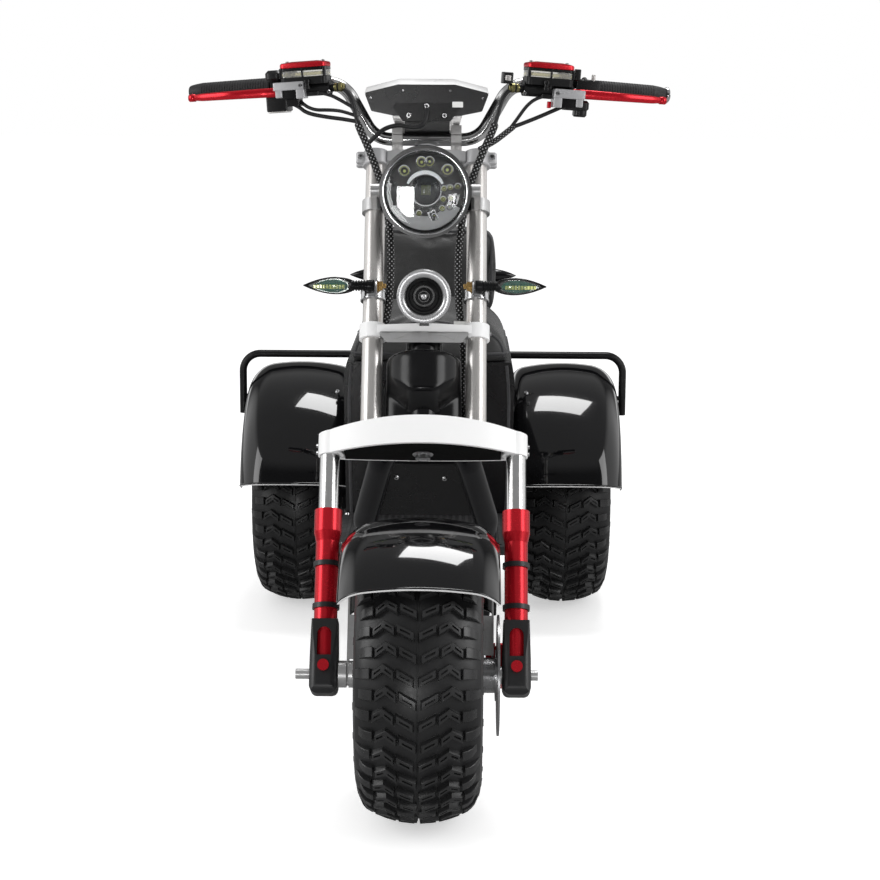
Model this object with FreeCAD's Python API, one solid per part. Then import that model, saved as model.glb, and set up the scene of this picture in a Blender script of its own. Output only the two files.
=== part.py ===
import FreeCAD, Part
import math
import os
from FreeCAD import Vector

# Fat-tyred electric trike: one steered wheel in front, two driven wheels behind.
# Sizes are in millimetres and degrees. Every sub-part is built with the origin on the
# ground under the front axle, -Y forward, +Z up and +X to the vehicle's left.

# Stance
TYRE_DIAMETER = 457.0
TYRE_WIDTH = 191.0
RIM_DIAMETER = 203.0
WHEELBASE = 1320.0
REAR_TRACK = 570.0
RAKE_ANGLE = 28.0
SEAT_FIT = 0.3
OVERRUN = 1.0

# Tyres and rims
TYRE_WALL = 12.0
RIM_WALL = 4.0
RIM_FLANGE = 8.0
RIM_WEB = 20.0
RIM_WINDOW_RADIUS = 21.0
RIM_WINDOW_COUNT = 5
HUB_RADIUS = 27.5
FRONT_HUB_WIDTH = 186.0
REAR_HUB_WIDTH = 120.0
BEAD_WIDTH_SHARE = 0.8
SIDEWALL_SHARES = ((1.0, 0.45), (0.9, 0.8))
CAVITY_SHARE = 0.3
WINDOW_CIRCLE_SHARE = 0.62

# Fork
LEG_SPREAD = 300.0
STANCHION_RADIUS = 16.0
LEG_RADIUS = 18.5
COLLAR_RADIUS = 22.0
LEG_FOOT = 14.0
TAPER_FOOT = 212.0
COLLAR_FOOT = 228.0
COLLAR_TOP = 264.0
STANCHION_DEPTH = 84.0
FOOT_WIDTH = 45.0
FOOT_NECK_WIDTH = 41.0
FOOT_DEPTH = 50.0
FOOT_BOTTOM = -33.0
FOOT_TOP = 84.0
FOOT_WAIST = 20.0
FOOT_ROUND = 12.0
FOOT_END_ROUND = 14.0
FOOT_WINDOW = (26.0, 60.0)
FOOT_WINDOW_WIDTH = 22.0
BAND_RADIUS = 21.5
BAND_HEIGHT = 8.0
BAND_FEET = (103.0, 171.0)
AXLE_RADIUS = 8.0
AXLE_STUB = 22.0
AXLE_STUB_LEFT = 11.0
HUB_COLLAR_RADIUS = 21.0
FOOT_COLLAR_RADIUS = 14.0
AXLE_BOLT_RADIUS = 9.0
AXLE_BOLT_LEVEL = 9.0
AXLE_BOLT_LENGTH = 6.0

# Yokes
CROWN_END_RADIUS = 19.0
CROWN_FOOT = 355.0
CROWN_END_HEIGHT = 36.0
CROWN_ARCH = 16.0
CROWN_UNDER_ARCH = 6.0
CROWN_FRONT = 62.0
CROWN_BACK = 43.0
CROWN_ROOF = 12.0
CROWN_RIM = 7.0
STEM_BOSS_RADIUS = 22.0
LEG_BOSS_RADIUS = 22.0
TUBE_BOSS_RADIUS = 21.0
STEM_RADIUS = 12.5
TUBE_SPREAD = 170.6
TUBE_RADIUS = 17.0
TUBE_WALL = 2.5
TUBE_SEAT_DEPTH = 14.0
YOKE_RING_RADIUS = 22.0
MID_YOKE_LEVEL = 568.0
MID_YOKE_RING = 25.0
MID_YOKE_PLATE = 14.0
MID_YOKE_DEPTH = 56.0
TOP_YOKE_LEVEL = 880.0
TOP_YOKE_HEIGHT = 22.0
TOP_YOKE_DEPTH = 50.0
PINCH_LUG = 12.0
YOKE_WAIST_SHARE = 0.9
TOP_BOSS_RADIUS = 18.0
TOP_BOSS_HEIGHT = 12.0

# Handlebar and what it carries
BAR_RADIUS = 11.0
BAR_STAND = 34.5
BAR_BEND = 46.0
BAR_FLAT = 88.0
BAR_RISE = 95.0
BAR_RISE_WIDTH = 54.0
BAR_SWEEP = 66.0
BAR_DROOP = 19.4
BAR_WIDTH = 810.0
RISER_SPREAD = 100.0
RISER_WIDTH = 17.5
RISER_RADIUS = 9.5
RISER_CLAMP = 14.0
RISER_DEPTH = 36.0
RISER_CAP = 18.0
RISER_SPLIT = 2.0
GRIP_RADIUS = 15.5
GRIP_LENGTH = 145.0
GRIP_END = 4.0
PERCH_WIDTH = 24.0
PERCH_RADIUS = 16.0
PERCH_PLACE = 72.0
MASTER_RADIUS = 12.0
MASTER_AHEAD = 32.0
MASTER_RISE = -8.0
MASTER_SPAN = (12.0, 98.0)
BANJO_RADIUS = 7.0
BANJO_LENGTH = 16.0
TANK_SPAN = (14.0, 95.0)
TANK_DEPTH = 42.0
BASE_FOOT = 0.0
TANK_FOOT = 12.0
LID_FOOT = 28.0
LID_TOP = 37.0
TANK_ROUND = 9.0
LEVER_THICKNESS = 13.0
LEVER_DROP = 16.5
LEVER_LENGTH = 162.0
LEVER_REACH = 44.0
LEVER_BALL = 8.0
LEVER_SHARES = (
    (0.0, 0.2), (0.12, 0.42), (0.5, 0.62), (1.0, 0.3),
    (1.0, 0.05), (0.5, 0.36), (0.12, 0.12), (0.0, -0.1),
)
LEVER_TIP_SHARE = 0.175
POD_SPAN = (101.0, 124.0)
POD_LEVELS = (-36.0, 16.0)
POD_DEPTH = 38.0
MIRROR_THREAD_RADIUS = 5.0
MIRROR_THREAD_DEPTH = 14.0
MIRROR_BOSS_RADIUS = 9.0
MIRROR_BOSS_HEIGHT = 26.0

# Dash
DASH_WIDTH = 209.0
DASH_HEIGHT = 52.0
DASH_DEPTH = 70.0
DASH_STAND = 40.0
DASH_AHEAD = 33.5
DASH_ROUND = 4.0
DASH_SHARES = (
    (-0.5, 0.73), (-0.23, 1.0), (0.23, 1.0), (0.5, 0.73),
    (0.445, 0.15), (0.26, 0.0), (-0.26, 0.0), (-0.445, 0.15),
)
DASH_BRACKET_WIDTH = 120.0
DASH_BRACKET_DEPTH = 22.0

# Lamp, horn and front indicators
LAMP_RADIUS = 75.0
LAMP_DROP = 79.0
LAMP_AHEAD = 161.5
LAMP_RIM_DEPTH = 26.0
LAMP_BOWL_DEPTH = 66.0
LAMP_BACK_RADIUS = 38.0
LAMP_LENS_DEPTH = 12.0
LAMP_LENS_WALL = 4.0
LAMP_LENS_DOME = 3.0
LAMP_LEDGE = 5.0
LAMP_FLOOR = 60.0
LAMP_FLOOR_RADIUS = 30.0
PROJECTOR_FOOT_RADIUS = 18.0
PROJECTOR_FACE = 26.0
PROJECTOR_DOME = 10.0
LAMP_LENS_RECESS = 5.0
LAMP_BEZEL = 8.0
PROJECTOR_RADIUS = 22.0
LAMP_ARM_WIDTH = 10.0
LAMP_ARM_HEIGHT = 22.0
LAMP_LUG_RADIUS = 11.0
LAMP_LUG_BACK = 40.0
HORN_RADIUS = 43.0
HORN_HEIGHT = 798.0
HORN_FRONT = 200.0
HORN_DEPTH = 42.0
HORN_CONE_RADIUS = 34.0
HORN_CONE_DEPTH = 12.0
HORN_STRIP = 22.0
HORN_STRIP_THICKNESS = 3.0
SIGNAL_LEVEL = 632.0
SIGNAL_TIP = 200.0
SIGNAL_BODY = 83.0
SIGNAL_STEM = 28.0
SIGNAL_STEM_RADIUS = 6.5
SIGNAL_HEIGHT = 29.0
SIGNAL_DEPTH = 24.0
SIGNAL_BLOCK = 15.0
SIGNAL_RING_RADIUS = 21.5
SIGNAL_RING_HEIGHT = 18.0
SIGNAL_RISE = 20.0
SIGNAL_NUT_RADIUS = 6.0
SIGNAL_NUT_LENGTH = 13.0
SIGNAL_BELLY_SHARE = 0.42

# Front fender and stays
FRONT_FENDER_RADIUS = 245.5
FRONT_FENDER_WIDTH = 254.0
FRONT_FENDER_ROUND = 60.0
FRONT_FENDER_CROWN = 370.0
FRONT_FENDER_SKIRT = 205.0
FENDER_WALL = 2.5
FRONT_FENDER_LIP_ANGLE = 48.0
FRONT_FENDER_END_ANGLE = 168.0
STAY_PLACE = 111.5
STAY_THICKNESS = 3.0
STAY_DEPTH = 25.0
STAY_FOOT = -16.0
STAY_FLANGE = 15.0
STAY_FLANGE_SPAN = (22.0, 92.0)

# Front brake
DISC_RADIUS = 94.0
DISC_BORE = 30.0
DISC_PLACE = 119.5
DISC_THICKNESS = 3.5
DISC_CARRIER_RADIUS = 40.0
CALIPER_WIDTH = 36.0
CALIPER_SPAN = (46.0, 108.0)
CALIPER_LEVELS = (-2.0, 62.0)
CALIPER_GAP = 1.5
CALIPER_TIP_GAP = 3.0
ADAPTER_THICKNESS = 7.0
ADAPTER_PLACE = 130.0

# Frame
HEAD_TUBE_RADIUS = 25.5
HEAD_TUBE_GAP = 9.0
HEAD_BEARING = 3.5
COVER_SPAN = (36.0, 72.0, 106.0)
COVER_RADIUS = 62.0
COVER_TOP_WIDTH = 112.0
COVER_DEPTH = 96.0
COVER_SHOULDER = 12.0
COVER_CHAMFER = 3.0
RAIL_RADIUS = 22.5
RAIL_BEND = 60.0
RAIL_SPREAD = 200.0
RAIL_HEIGHT = 270.0
NECK_START = (26.0, 88.0, 484.0)
NECK_POINT = (73.0, 357.0, 500.0)
KNEE_POINT = (107.0, 475.0, 370.0)
RAIL_START = 560.0
RAIL_REAR_AHEAD = 70.0
TAIL_DROP = 45.5
TAIL_END_BEHIND = 180.0
GUSSET_WIDTH = 26.0
GUSSET_SPAN = (20.0, 120.0)
APRON_HALF_WIDTH = 66.0
APRON_PLACE = 87.0
APRON_THICKNESS = 4.0
APRON_SPAN = (0.0, 100.0)
GUSSET_DEPTH = 74.0
CROSS_RADIUS = 14.0
CROSS_FRONT = 600.0
CROSS_REAR_AHEAD = 260.0
EAR_THICKNESS = 8.0
EYE_WIDTH = 26.0
EYE_WALL = 5.0
SHOCK_BAR_RADIUS = 9.0
SHOCK_BAR_GAP = 6.0
BRACKET_THICKNESS = 6.0
BRACKET_WIDTH = 34.0
BRACKET_SPOTS = ((-70.0, -40.0), (100.0, -12.0))
PANEL_THICKNESS = 3.0
PANEL_MARGIN = 14.0

# Deck, battery and body
DECK_FRONT = 520.0
DECK_GAP = 4.0
DECK_HALF_WIDTH = 165.0
DECK_THICKNESS = 16.0
DECK_ROUND = 30.0
BATTERY_FRONT = 610.0
BATTERY_BACK_AHEAD = 335.0
BATTERY_HALF_WIDTH = 118.0
BATTERY_FOOT = 150.0
BODY_FRONT = 800.0
BODY_BACK_AHEAD = 134.0
BODY_FOOT_GAP = 12.0
BODY_SHOULDER_GAP = 8.0
BODY_SHOULDER_DROP = 64.0
BODY_TOP = 604.0
BODY_TOP_GAP = 14.0
SEAT_TOP = 690.0
SEAT_CORNER = 80.0
SEAT_SIDE_GAP = 16.0
SEAT_FRONT_INSET = 6.0
SEAT_BACK_INSET = 2.0
SEAT_ROUND = 30.0
BACKREST_GAP = 14.0
BACKREST_THICKNESS = 58.0
BACKREST_FOOT = 640.0
BACKREST_TOP = 810.0
BACKREST_HALF_WIDTH = 134.0
BACKREST_ROUND = 24.0

# Rear axle
AXLE_TUBE_RADIUS = 30.0
AXLE_TUBE_GAP = 9.0
DRIVE_RADIUS = 74.0
DRIVE_HALF_WIDTH = 68.0
STUB_RADIUS = 12.0
STUB_NUT_RADIUS = 19.0
STUB_NUT_LENGTH = 14.0
NUT_GAP = 1.0
ARM_SPREAD = 176.0
ARM_RADIUS = 12.0
ARM_LENGTH = 300.0
ARM_HEIGHT = 222.0
PIVOT_RADIUS = 14.0
SHOCK_GAP = 3.0
SHOCK_RADIUS = 20.0
SHOCK_ROD_RADIUS = 7.0
SHOCK_CAN_TOP = 330.0
SHOCK_TOP_DROP = 12.0

# Rear fenders and guard rail
REAR_FENDER_RADIUS = 297.0
REAR_FENDER_CROWN = 420.0
REAR_FENDER_INNER_GAP = 17.5
REAR_FENDER_OUTER_GAP = 19.5
REAR_FENDER_OUTER_ROUND = 62.0
REAR_FENDER_INNER_ROUND = 34.0
REAR_FENDER_SKIRT = 214.0
REAR_FENDER_LIP_ANGLE = 17.0
GUARD_RADIUS = 8.0
GUARD_RISE = 19.5
GUARD_GAP = 14.0
GUARD_BEND = 38.0
GUARD_END = 414.0
GUARD_BOLT_HEIGHT = 451.0
GUARD_BOLT_RADIUS = 5.0

# Rear rack and lights
RACK_FRONT_AHEAD = 68.0
RACK_BACK_BEHIND = 166.0
RACK_HALF_WIDTH = 118.0
RACK_THICKNESS = 5.0
RACK_HOLE_RADIUS = 4.5
RACK_HOLE_SPACING = (160.0, 110.0)
RACK_HOLE_BEHIND = 85.0
POST_WIDTH = 18.0
UPRIGHT_RADIUS = 10.0
UPRIGHT_SPREAD = 160.0
UPRIGHT_TOP = 790.0
TAIL_LAMP_HALF_WIDTH = 105.0
TAIL_LAMP_DEPTH = 34.0
TAIL_LAMP_HEIGHT = 46.0
TAIL_LAMP_ROUND = 10.0
REAR_SIGNAL_HEIGHT = 722.0
REAR_SIGNAL_TIP = 178.0

# Cables
CABLE_RADIUS = 5.5
CABLE_BEND_SHARE = 0.45
CABLE_LEAD = 30.0
CABLE_ROUTE = (
    (98.0, -60.0, 938.0),
    (90.0, -46.0, 902.0),
    (74.0, -34.0, 858.0),
    (57.0, -20.0, 805.0),
    (54.0, -8.0, 710.0),
    (56.0, 10.0, 630.0),
    (66.0, 29.0, 580.0),
    (80.0, 33.0, 535.0),
    (84.0, 31.0, 480.0),
    (82.0, 28.0, 415.0),
)

# Values that follow from the sizes above
TYRE_RADIUS = TYRE_DIAMETER / 2
RIM_RADIUS = RIM_DIAMETER / 2
HALF_TYRE = TYRE_WIDTH / 2
LEG_PLACE = LEG_SPREAD / 2
TUBE_PLACE = TUBE_SPREAD / 2
RAIL_PLACE = RAIL_SPREAD / 2
CROWN_TOP = CROWN_FOOT + CROWN_END_HEIGHT
MIDDLE = (WHEELBASE + REAR_FENDER_RADIUS - TYRE_RADIUS) / 2
REAR_FENDER_INNER = REAR_TRACK / 2 - HALF_TYRE - REAR_FENDER_INNER_GAP
REAR_FENDER_OUTER = REAR_TRACK / 2 + HALF_TYRE + REAR_FENDER_OUTER_GAP
GUARD_HALF_WIDTH = REAR_FENDER_OUTER + GUARD_GAP
AXLE_TUBE_HALF = REAR_TRACK / 2 - REAR_HUB_WIDTH / 2 - AXLE_TUBE_GAP
BAR_HEIGHT = TYRE_RADIUS + TOP_YOKE_LEVEL * math.cos(math.radians(RAKE_ANGLE)) + BAR_STAND
BAR_LINE = (BAR_HEIGHT - TYRE_RADIUS) * math.tan(math.radians(RAKE_ANGLE))
DASH_FOOT = BAR_HEIGHT + DASH_STAND
LAMP_HEIGHT = BAR_HEIGHT - LAMP_DROP
LAMP_FRONT = BAR_LINE - LAMP_AHEAD
FENDER_TOP = TYRE_RADIUS + REAR_FENDER_RADIUS
TAIL_HEIGHT = FENDER_TOP - TAIL_DROP
GUARD_HEIGHT = FENDER_TOP + GUARD_RISE
SHOCK_TOP = TAIL_HEIGHT - SHOCK_TOP_DROP
RAIL_REAR = WHEELBASE - RAIL_REAR_AHEAD
TAIL_END = WHEELBASE + TAIL_END_BEHIND
CROSS_PLACES = (CROSS_FRONT, WHEELBASE - CROSS_REAR_AHEAD)
ARM_FRONT = WHEELBASE - ARM_LENGTH
BATTERY_BACK = WHEELBASE - BATTERY_BACK_AHEAD
BODY_BACK = WHEELBASE - BODY_BACK_AHEAD
BODY_HALF_WIDTH = REAR_FENDER_INNER - BODY_FOOT_GAP
BODY_SHOULDER = REAR_FENDER_INNER - BODY_SHOULDER_GAP
BODY_TOP_HALF_WIDTH = REAR_FENDER_INNER - BODY_TOP_GAP
DECK_BACK = BODY_FRONT - DECK_GAP
SEAT_HALF_WIDTH = REAR_FENDER_INNER - SEAT_SIDE_GAP
SEAT_FRONT = BODY_FRONT + SEAT_FRONT_INSET
SEAT_BACK = BODY_BACK - SEAT_BACK_INSET
BACKREST_FRONT = BODY_BACK + BACKREST_GAP
SHOCK_BAR_HALF = REAR_FENDER_INNER - SHOCK_BAR_GAP
SHOCK_PLACE = REAR_FENDER_INNER - SHOCK_GAP - SHOCK_RADIUS
RACK_FRONT = WHEELBASE - RACK_FRONT_AHEAD
RACK_BACK = WHEELBASE + RACK_BACK_BEHIND
RACK_HOLE_CENTRE = WHEELBASE + RACK_HOLE_BEHIND
HEAD_TUBE_FOOT = CROWN_TOP + CROWN_ARCH + HEAD_TUBE_GAP
HEAD_TUBE_TOP = MID_YOKE_LEVEL - MID_YOKE_RING / 2 - HEAD_BEARING
ALONG_X = Vector(1, 0, 0)
ALONG_Y = Vector(0, 1, 0)
ALONG_Z = Vector(0, 0, 1)
NAUGHT = Vector(0, 0, 0)
DIAGONAL = math.sin(math.pi / 4)
FULL_ANGLE = 360
HALF_ANGLE = 180


def rod(start, end, radius):
    reach = end - start
    return Part.makeCylinder(radius, reach.Length, start, reach)


def pipe(start, end, radius, bore):
    along = (end - start).normalize() * OVERRUN
    return rod(start, end, radius).cut(rod(start - along, end + along, bore))


def block(across, along, up):
    corner = Vector(across[0], along[0], up[0])
    return Part.makeBox(across[1] - across[0], along[1] - along[0], up[1] - up[0], corner)


def rounded(shape, radius, direction):
    # Fillets the straight edges that run along one direction
    edges = [edge for edge in shape.Edges if is_straight(edge, direction)]
    return shape.makeFillet(radius, edges)


def is_straight(edge, direction):
    if not isinstance(edge.Curve, Part.Line):
        return False
    return abs(edge.Curve.Direction.dot(direction)) > math.cos(math.radians(1))


def outline_face(points):
    return Part.Face(Part.makePolygon(list(points) + [points[0]]))


def arc(start, middle, end):
    return Part.Arc(start, middle, end).toShape()


def line(start, end):
    return Part.LineSegment(start, end).toShape()


def mirrored(shape):
    return shape.mirror(NAUGHT, ALONG_X)


def pair(shape):
    return Part.makeCompound([shape, mirrored(shape)])


def bent_path(points, bend):
    # Straight runs joined by tangent arcs of one radius
    edges = []
    start = points[0]
    for before, corner, after in zip(points, points[1:], points[2:]):
        arriving = (corner - before).normalize()
        leaving = (after - corner).normalize()
        half = arriving.getAngle(leaving) / 2
        if half < math.radians(1):
            continue
        radius = bend(before, corner, after, half)
        trim = radius * math.tan(half)
        inward = (leaving - arriving).normalize()
        arrive = corner - arriving * trim
        leave = corner + leaving * trim
        middle = corner + inward * (radius / math.cos(half) - radius)
        edges.append(line(start, arrive))
        edges.append(arc(arrive, middle, leave))
        start = leave
    edges.append(line(start, points[-1]))
    return Part.Wire(edges)


def bent_rod(points, radius, bend):
    path = bent_path(points, lambda before, corner, after, half: bend)
    return swept(path, points, radius)


def swept(path, points, radius):
    ring = Part.Wire(Part.makeCircle(radius, points[0], points[1] - points[0]))
    return path.makePipeShell([ring], True, False)


def cable(points, radius):
    # Each arc is as large as its two runs allow
    def bend(before, corner, after, half):
        shorter = min((corner - before).Length, (after - corner).Length)
        return CABLE_BEND_SHARE * shorter / math.tan(half)

    return swept(bent_path(points, bend), points, radius)


def on_fork(level, across, behind):
    # A point given along the steering axis, across it and behind it
    lean = math.radians(RAKE_ANGLE)
    y = level * math.sin(lean) + behind * math.cos(lean)
    z = level * math.cos(lean) - behind * math.sin(lean)
    return Vector(across, y, z + TYRE_RADIUS)


def to_fork(shape):
    # Turns a shape built upright on the front axle into the raked fork
    raked = shape.copy()
    raked.rotate(NAUGHT, ALONG_X, -RAKE_ANGLE)
    raked.translate(Vector(0, 0, TYRE_RADIUS))
    return raked


def bar_frame():
    # Corner and end of the handlebar's outer run, on the vehicle's left
    corner = Vector(BAR_FLAT + BAR_RISE_WIDTH, BAR_LINE, BAR_HEIGHT + BAR_RISE)
    end = Vector(BAR_WIDTH / 2, corner.y + BAR_SWEEP, corner.z - BAR_DROOP)
    return corner, end


def to_bar(shape):
    # Turns a shape built along +X into the handlebar's outer run
    corner, end = bar_frame()
    turn = math.degrees(math.atan2(end.y - corner.y, end.x - corner.x))
    level = Vector(end.x - corner.x, end.y - corner.y, 0).Length
    placed = shape.copy()
    placed.rotate(NAUGHT, ALONG_Y, math.degrees(math.atan2(corner.z - end.z, level)))
    placed.rotate(NAUGHT, ALONG_Z, turn)
    placed.translate(corner)
    return placed


def tyre(place, axle):
    # Outer skin from bead to bead over the tread, then the hollow that faces the rim
    height = TYRE_RADIUS - RIM_RADIUS
    bead = HALF_TYRE * BEAD_WIDTH_SHARE

    def spot(side, share):
        return Vector(side * HALF_TYRE * share[0], 0, RIM_RADIUS + height * share[1])

    waist, shoulder = SIDEWALL_SHARES
    left, right = Vector(-bead, 0, RIM_RADIUS), Vector(bead, 0, RIM_RADIUS)
    step = Vector(0, 0, RIM_FLANGE + SEAT_FIT)
    mouth = bead - TYRE_WALL
    roof = TYRE_RADIUS - TYRE_WALL
    floor = RIM_RADIUS + height * CAVITY_SHARE
    edges = [
        line(left, left + step),
        arc(left + step, spot(-1, waist), spot(-1, shoulder)),
        arc(spot(-1, shoulder), Vector(0, 0, TYRE_RADIUS), spot(1, shoulder)),
        arc(spot(1, shoulder), spot(1, waist), right + step),
        line(right + step, right),
        line(right, Vector(mouth, 0, RIM_RADIUS)),
        line(Vector(mouth, 0, RIM_RADIUS), Vector(mouth, 0, floor)),
        arc(Vector(mouth, 0, floor), Vector(0, 0, roof), Vector(-mouth, 0, floor)),
        line(Vector(-mouth, 0, floor), Vector(-mouth, 0, RIM_RADIUS)),
        line(Vector(-mouth, 0, RIM_RADIUS), left),
    ]
    solid = Part.Face(Part.Wire(edges)).revolve(NAUGHT, ALONG_X, FULL_ANGLE)
    solid.translate(Vector(place, axle, TYRE_RADIUS))
    return solid


def ring(half_width, radius, bore):
    return pipe(Vector(-half_width, 0, 0), Vector(half_width, 0, 0), radius, bore)


def rim(place, axle, hub_width, bore):
    # Barrel with a flange outside each bead, a web with round windows and the hub
    seat = RIM_RADIUS - SEAT_FIT
    bead = HALF_TYRE * BEAD_WIDTH_SHARE + SEAT_FIT
    solid = ring(bead + RIM_WALL, seat, seat - RIM_WALL)
    for side in (-1, 1):
        flange = ring(RIM_WALL / 2, seat + RIM_FLANGE, seat - RIM_WALL)
        flange.translate(Vector(side * (bead + RIM_WALL / 2), 0, 0))
        solid = solid.fuse(flange)
    web = ring(RIM_WEB / 2, seat - RIM_WALL / 2, bore)
    for number in range(RIM_WINDOW_COUNT):
        angle = math.radians(FULL_ANGLE * number / RIM_WINDOW_COUNT)
        circle = RIM_RADIUS * WINDOW_CIRCLE_SHARE
        spot = Vector(-RIM_WEB, circle * math.sin(angle), circle * math.cos(angle))
        web = web.cut(Part.makeCylinder(RIM_WINDOW_RADIUS, RIM_WEB * 2, spot, ALONG_X))
    solid = solid.fuse([web, ring(hub_width / 2, HUB_RADIUS, bore)]).removeSplitter()
    solid.translate(Vector(place, axle, TYRE_RADIUS))
    return solid


def brake_disc():
    half = DISC_THICKNESS / 2
    solid = ring(half, DISC_RADIUS, DISC_BORE)
    solid.translate(Vector(DISC_PLACE + half, 0, 0))
    start = Vector(FRONT_HUB_WIDTH / 2 + SEAT_FIT, 0, 0)
    carrier = pipe(start, Vector(DISC_PLACE, 0, 0), HUB_RADIUS, AXLE_RADIUS + SEAT_FIT)
    face = Vector(DISC_PLACE - STAY_THICKNESS, 0, 0)
    flange = pipe(face, Vector(DISC_PLACE, 0, 0), DISC_CARRIER_RADIUS, HUB_RADIUS - OVERRUN)
    solid = solid.fuse([carrier, flange])
    return to_fork(solid)


def fork_leg():
    at = Vector(LEG_PLACE, 0, 0)
    outline = [
        (0, LEG_FOOT), (LEG_RADIUS, LEG_FOOT), (LEG_RADIUS, TAPER_FOOT),
        (COLLAR_RADIUS, COLLAR_FOOT), (COLLAR_RADIUS, COLLAR_TOP), (0, COLLAR_TOP),
    ]
    face = outline_face([Vector(radius, 0, level) for radius, level in outline])
    leg = face.revolve(NAUGHT, ALONG_Z, FULL_ANGLE)
    foot = COLLAR_TOP - STANCHION_DEPTH - SEAT_FIT
    leg = leg.cut(rod(Vector(0, 0, foot), Vector(0, 0, COLLAR_TOP + OVERRUN), STANCHION_RADIUS + SEAT_FIT))
    leg.translate(at)
    return leg


def foot_outline(neck, half, direction):
    # Tapered at the top, rounded at the lower corners, and as thick as it needs along a direction
    reach = direction * FOOT_DEPTH
    across = ALONG_X if direction == ALONG_Y else ALONG_Y
    lean = FOOT_END_ROUND * (1 - DIAGONAL)

    def spot(place, level):
        return across * place + ALONG_Z * level - reach

    edges = []
    for side in (-1, 1):
        edges.append(line(spot(side * neck, FOOT_TOP), spot(side * half, FOOT_WAIST)))
        edges.append(line(spot(side * half, FOOT_WAIST), spot(side * half, FOOT_BOTTOM + FOOT_END_ROUND)))
        edges.append(arc(
            spot(side * half, FOOT_BOTTOM + FOOT_END_ROUND), spot(side * (half - lean), FOOT_BOTTOM + lean),
            spot(side * (half - FOOT_END_ROUND), FOOT_BOTTOM)))
    edges.append(line(spot(-neck, FOOT_TOP), spot(neck, FOOT_TOP)))
    edges.append(line(spot(FOOT_END_ROUND - half, FOOT_BOTTOM), spot(half - FOOT_END_ROUND, FOOT_BOTTOM)))
    return Part.Face(Part.Wire(Part.__sortEdges__(edges))).extrude(reach * 2)


def fork_foot():
    # Casting round the lower end of the leg, with an arched window in front
    half = FOOT_WIDTH / 2
    body = block((-half, half), (-FOOT_DEPTH / 2, FOOT_DEPTH / 2), (FOOT_BOTTOM, FOOT_TOP))
    body = rounded(body, FOOT_ROUND, ALONG_Z)
    body = body.common(foot_outline(FOOT_NECK_WIDTH / 2, half, ALONG_Y))
    body = body.common(foot_outline(FOOT_NECK_WIDTH / 2 + OVERRUN, FOOT_DEPTH / 2, ALONG_X))
    seat = LEG_FOOT - SEAT_FIT
    body = body.cut(rod(Vector(0, 0, seat), Vector(0, 0, FOOT_TOP + OVERRUN), LEG_RADIUS + SEAT_FIT))
    side = FOOT_WINDOW_WIDTH / 2
    body = body.cut(block((-side, side), (-FOOT_DEPTH, 0), FOOT_WINDOW))
    top = Vector(0, 0, FOOT_WINDOW[1])
    body = body.cut(rod(top - ALONG_Y * FOOT_DEPTH, top, side))
    hole = rod(Vector(-FOOT_WIDTH, 0, 0), Vector(FOOT_WIDTH, 0, 0), AXLE_RADIUS + SEAT_FIT)
    body = body.cut(hole)
    body.translate(Vector(LEG_PLACE, 0, 0))
    return body


def fork_bands():
    bands = []
    for foot in BAND_FEET:
        start = Vector(LEG_PLACE, 0, foot)
        end = Vector(LEG_PLACE, 0, foot + BAND_HEIGHT)
        bands.append(pipe(start, end, BAND_RADIUS, LEG_RADIUS + SEAT_FIT))
    return bands


def fork_feet():
    pieces = [fork_foot()] + fork_bands()
    return to_fork(pair(Part.makeCompound(pieces)))


def fork_legs():
    face = -FOOT_DEPTH / 2 - SEAT_FIT
    seat = Vector(LEG_PLACE, face, AXLE_BOLT_LEVEL)
    bolt = rod(seat, seat - ALONG_Y * AXLE_BOLT_LENGTH, AXLE_BOLT_RADIUS)
    return to_fork(pair(Part.makeCompound([fork_leg(), bolt])))


def stanchions():
    foot = COLLAR_TOP - STANCHION_DEPTH
    top = CROWN_TOP - SEAT_FIT
    return to_fork(pair(rod(Vector(LEG_PLACE, 0, foot), Vector(LEG_PLACE, 0, top), STANCHION_RADIUS)))


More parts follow.
